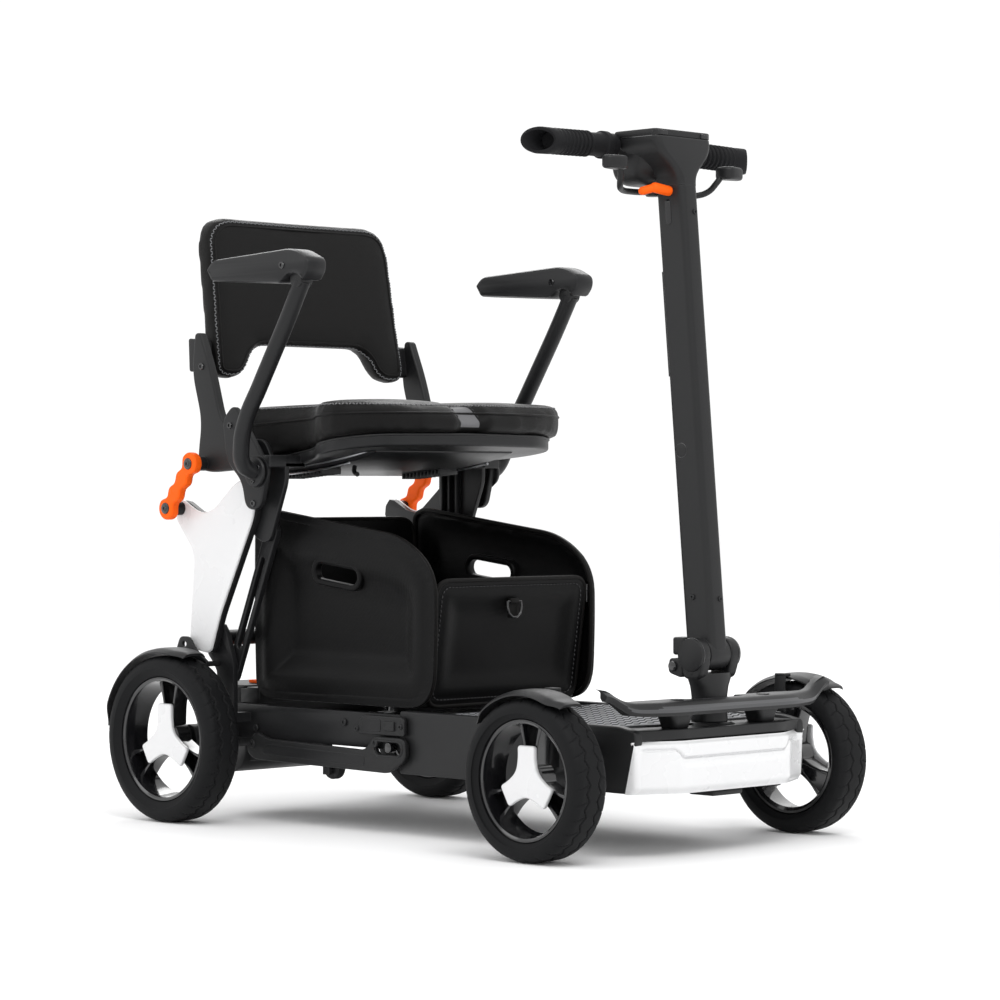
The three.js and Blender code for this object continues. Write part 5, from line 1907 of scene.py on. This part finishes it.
def side_depth(u, v, edge):
    """How far the side panel stands out of its flat, in millimetres."""
    board = 4.0 * smooth_step(0, 26, edge)
    recess = 15.0 * smooth_step(26, 66, edge) * smooth_step(372, 300, v + 0.14 * (u + 500))
    wrinkle = 0.5 * math.sin(u / 33.0) * math.sin(v / 41.0) * smooth_step(10, 60, edge)
    tape = 1.3 * smooth_step(9.5, 8.5, edge)
    return board - recess + wrinkle + tape


SHEET_WALL = 2.6


def panel_sheet(shape, hole, depth, cell=6.0):
    mesh = filled_grid(shape, hole, cell)
    for v in mesh.vertices:
        u, w = v.co.x / MM, v.co.y / MM
        v.co.z = depth(u, w, inside_share(u, w, shape)) * MM
    obj = linked("sheet", mesh)
    wall = obj.modifiers.new("wall", "SOLIDIFY")
    wall.thickness = SHEET_WALL * MM
    wall.offset = -1
    return mesh_of(obj)


def stand_up(mesh, plane, depth):
    """Turns a flat panel to a side or front plane at a depth."""
    shift = -depth * MM if plane == "side" else depth * MM
    mesh.transform(Matrix.Translation((0, 0, shift)))
    mesh.transform(PLANES[plane].to_4x4())
    return tidy_mesh(mesh)


side_shape = [Vector((at(p.x), p.y)) for p in outline(SIDE_PANEL, 12)]
slot_ends = [(at(x), z) for x, z in HANDLE_SLOT]
slot_shape = stadium(*slot_ends, SLOT_WIDTH)


def left_depth(u, v, edge):
    """The flat panel's front looks to the right-hand side, so the bulge is turned round."""
    return -side_depth(u - AXLE_X, v, edge)


side_sheet = panel_sheet(side_shape, slot_shape, left_depth)
side_sheet = stand_up(side_sheet, "side", BAG_HALF - 3)
print("side panel:", len(side_sheet.polygons), "faces")

# %% [markdown]
# The side, front and rear panels are bound at the edge in a folded tape, which a round tube
# along the outline stands for, and the handle slot has a raised moulded ring pressed into the
# board.

# %% Binding, slot ring and the other panels
def bound_edge(shape, plane, depth, radius):
    """Tape along an outline, at a depth that may change from point to point."""
    path = [(p.x, depth(p), p.y) if plane == "side" else (depth(p), p.x, p.y) for p in shape]
    return tube(path + path[:1], radius, False, 4)


binding = bound_edge(inset_outline(profile(SIDE_PANEL, 12), 2.4), "side",
                     lambda p: BAG_HALF - 3.6, 3.3)
slot_flange = plate([stadium(*slot_ends, SLOT_WIDTH + 15), stadium(*slot_ends, SLOT_WIDTH - 1)],
                    "side", (BAG_HALF - 12, BAG_HALF + 0.6), 3.0, 5)
side_parts = joined([side_sheet, binding, slot_flange], [BAG_CLOTH, BAG_TAPE, BAG_CLOTH])

FRONT_PANEL = [(-134, 159, 22), (134, 159, 22), (135, 318, 22), (-135, 318, 22)]
front_shape = outline(FRONT_PANEL, 10)


def front_depth(u, v, edge):
    board = 4.0 * smooth_step(0, 26, edge) + 1.3 * smooth_step(9, 8, edge)
    lean = -0.14 * (318 - v)
    inset = 7.0 * smooth_step(16, 46, edge) * smooth_step(150, 300, v + 60)
    wrinkle = 0.7 * math.sin(u / 27.0) * math.sin(v / 19.0) * smooth_step(10, 50, edge)
    return board + lean - inset + wrinkle


front_sheet = stand_up(panel_sheet(front_shape, None, front_depth), "front", at(-269))
front_binding = bound_edge(outline([(u * 0.985, 159 + (v - 159) * 0.985 + 1, r)
                                    for u, v, r in FRONT_PANEL], 10),
                           "front", lambda p: at(-269.6) - 0.14 * (318 - p.y), 3.2)
REAR_PANEL = [(-134, 159, 20), (134, 159, 20), (134, 390, 26), (-134, 390, 26)]
rear_shape = outline(REAR_PANEL, 8)


def rear_depth(u, v, edge):
    return -3.0 * smooth_step(0, 60, edge) + 0.6 * math.sin(u / 30.0) * math.sin(v / 26.0)


rear_sheet = stand_up(panel_sheet(rear_shape, None, rear_depth, cell=10.0), "front", at(-592))
rear_binding = bound_edge(rear_shape, "front", lambda p: at(-593.5), 3.0)
floor_sheet = plate([profile([(-592, -132, 12), (-294, -132, 14), (-294, 132, 14),
                              (-592, 132, 12)])], "plan", (159, 163), 1.0)
print("front pocket:", len(front_sheet.polygons), "faces")


# %% [markdown]
# The front corners are folded gussets with a zip running up each, and a D-ring hangs from a cloth
# tab in the middle of the pocket. The ring is a bent wire and lies against the pocket.

# %% Gussets, zips and the D-ring
def gusset(sign):
    """Cloth that turns the corner between the side panel and the pocket."""
    rings = []
    for k in range(9):
        z = 162 + (312 - 162) * k / 8
        front = at(-269) - 0.14 * (318 - z)
        ring = []
        for j in range(7):
            q = math.radians(90 * j / 6)
            ring.append((front - 13 + 13 * math.sin(q), sign * (126 + 13 * math.cos(q)), z))
        for j in range(6, -1, -1):
            q = math.radians(90 * j / 6)
            ring.append((front - 13 + 10 * math.sin(q), sign * (126 + 10 * math.cos(q)), z))
        rings.append(ring)
    return lofted(rings)


def zip_teeth(sign):
    spots = []
    for k in range(26):
        z = 176 + 5.0 * k
        front = at(-268.6) - 0.14 * (318 - z)
        spots.append(((front, sign * 133.4, z), (0.14, 0, 1), (0.7, sign * 0.7, 0)))
    tooth = plain_box((-1.1, 1.1), (-2.0, 2.0), (-0.7, 0.9))
    return copies(spots, tooth, RIM_BLACK)


def zip_pull(sign):
    place = (at(-271), sign * 135.6, 303)
    slider = softened(plain_box((place[0] - 3, place[0] + 3), (place[1] - 2.4, place[1] + 2.4),
                                (299, 308)), 1.0)
    pull = softened(plain_box((place[0] + 0.5, place[0] + 2.6), (place[1] - 2, place[1] + 2),
                              (284, 300)), 0.8)
    return joined([slider, pull])


ring_z = 282
ring_x = at(-269) - 0.14 * (318 - ring_z) + 6.4
d_path = [(ring_x, -12, ring_z + 7), (ring_x, 12, ring_z + 7), (ring_x + 0.6, 12.6, ring_z + 1),
          (ring_x + 1, 10.4, ring_z - 8), (ring_x + 1.2, 4, ring_z - 13),
          (ring_x + 1.2, -4, ring_z - 13), (ring_x + 1, -10.4, ring_z - 8),
          (ring_x + 0.6, -12.6, ring_z + 1)]
d_ring = tube(d_path + d_path[:1], 1.7, False, 4)
tab_loop = plain_box((ring_x - 3.2, ring_x + 2.4), (-8, 8), (ring_z + 4, ring_z + 11))
tab_tail = plain_box((ring_x - 4.4, ring_x - 1.2), (-8, 8), (ring_z - 14, ring_z + 9))
tab_loop, tab_tail = softened(tab_loop, 1.6), softened(tab_tail, 1.0)

bag_tree = surface_of(front_sheet)
seam_line = outline([(-124, 168, 14), (124, 168, 14), (124, 309, 16), (-124, 309, 16)], 8)
seam_places = hits(bag_tree, [((at(-200), p.x, p.y), (-1, 0, 0)) for p in seam_line])
pocket_stitches, pocket_count = stitches(bag_tree, seam_places, 6.0, DARK_THREAD, length=4.0)
bag_meshes = [side_parts, mirrored(side_parts)]
shell = joined([front_sheet, rear_sheet, floor_sheet, gusset(1), gusset(-1)])
trim = joined([front_binding, rear_binding, tab_loop, tab_tail])
hard = joined([d_ring, zip_teeth(1), zip_teeth(-1), zip_pull(1), zip_pull(-1)])


def bag_piece(name, mesh, material=None, nodes=()):
    """A piece of the bag, riding on the chassis with its own copy of the mesh."""
    made = piece(name, mesh, "chassis", material, nodes)
    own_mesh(made)
    return made


for side, mesh in zip(SIDES, bag_meshes):
    bag_piece(f"bag_side_{side}", mesh)
bag_piece("bag_shell", shell, BAG_CLOTH, ["cargo_tub", "cargo_collar"])
bag_piece("bag_binding", trim, BAG_TAPE)
bag_piece("bag_hardware", hard, RIM_BLACK)
bag_piece("bag_stitches", pocket_stitches, DARK_THREAD)
print("bag sewn with", pocket_count, "stitches")
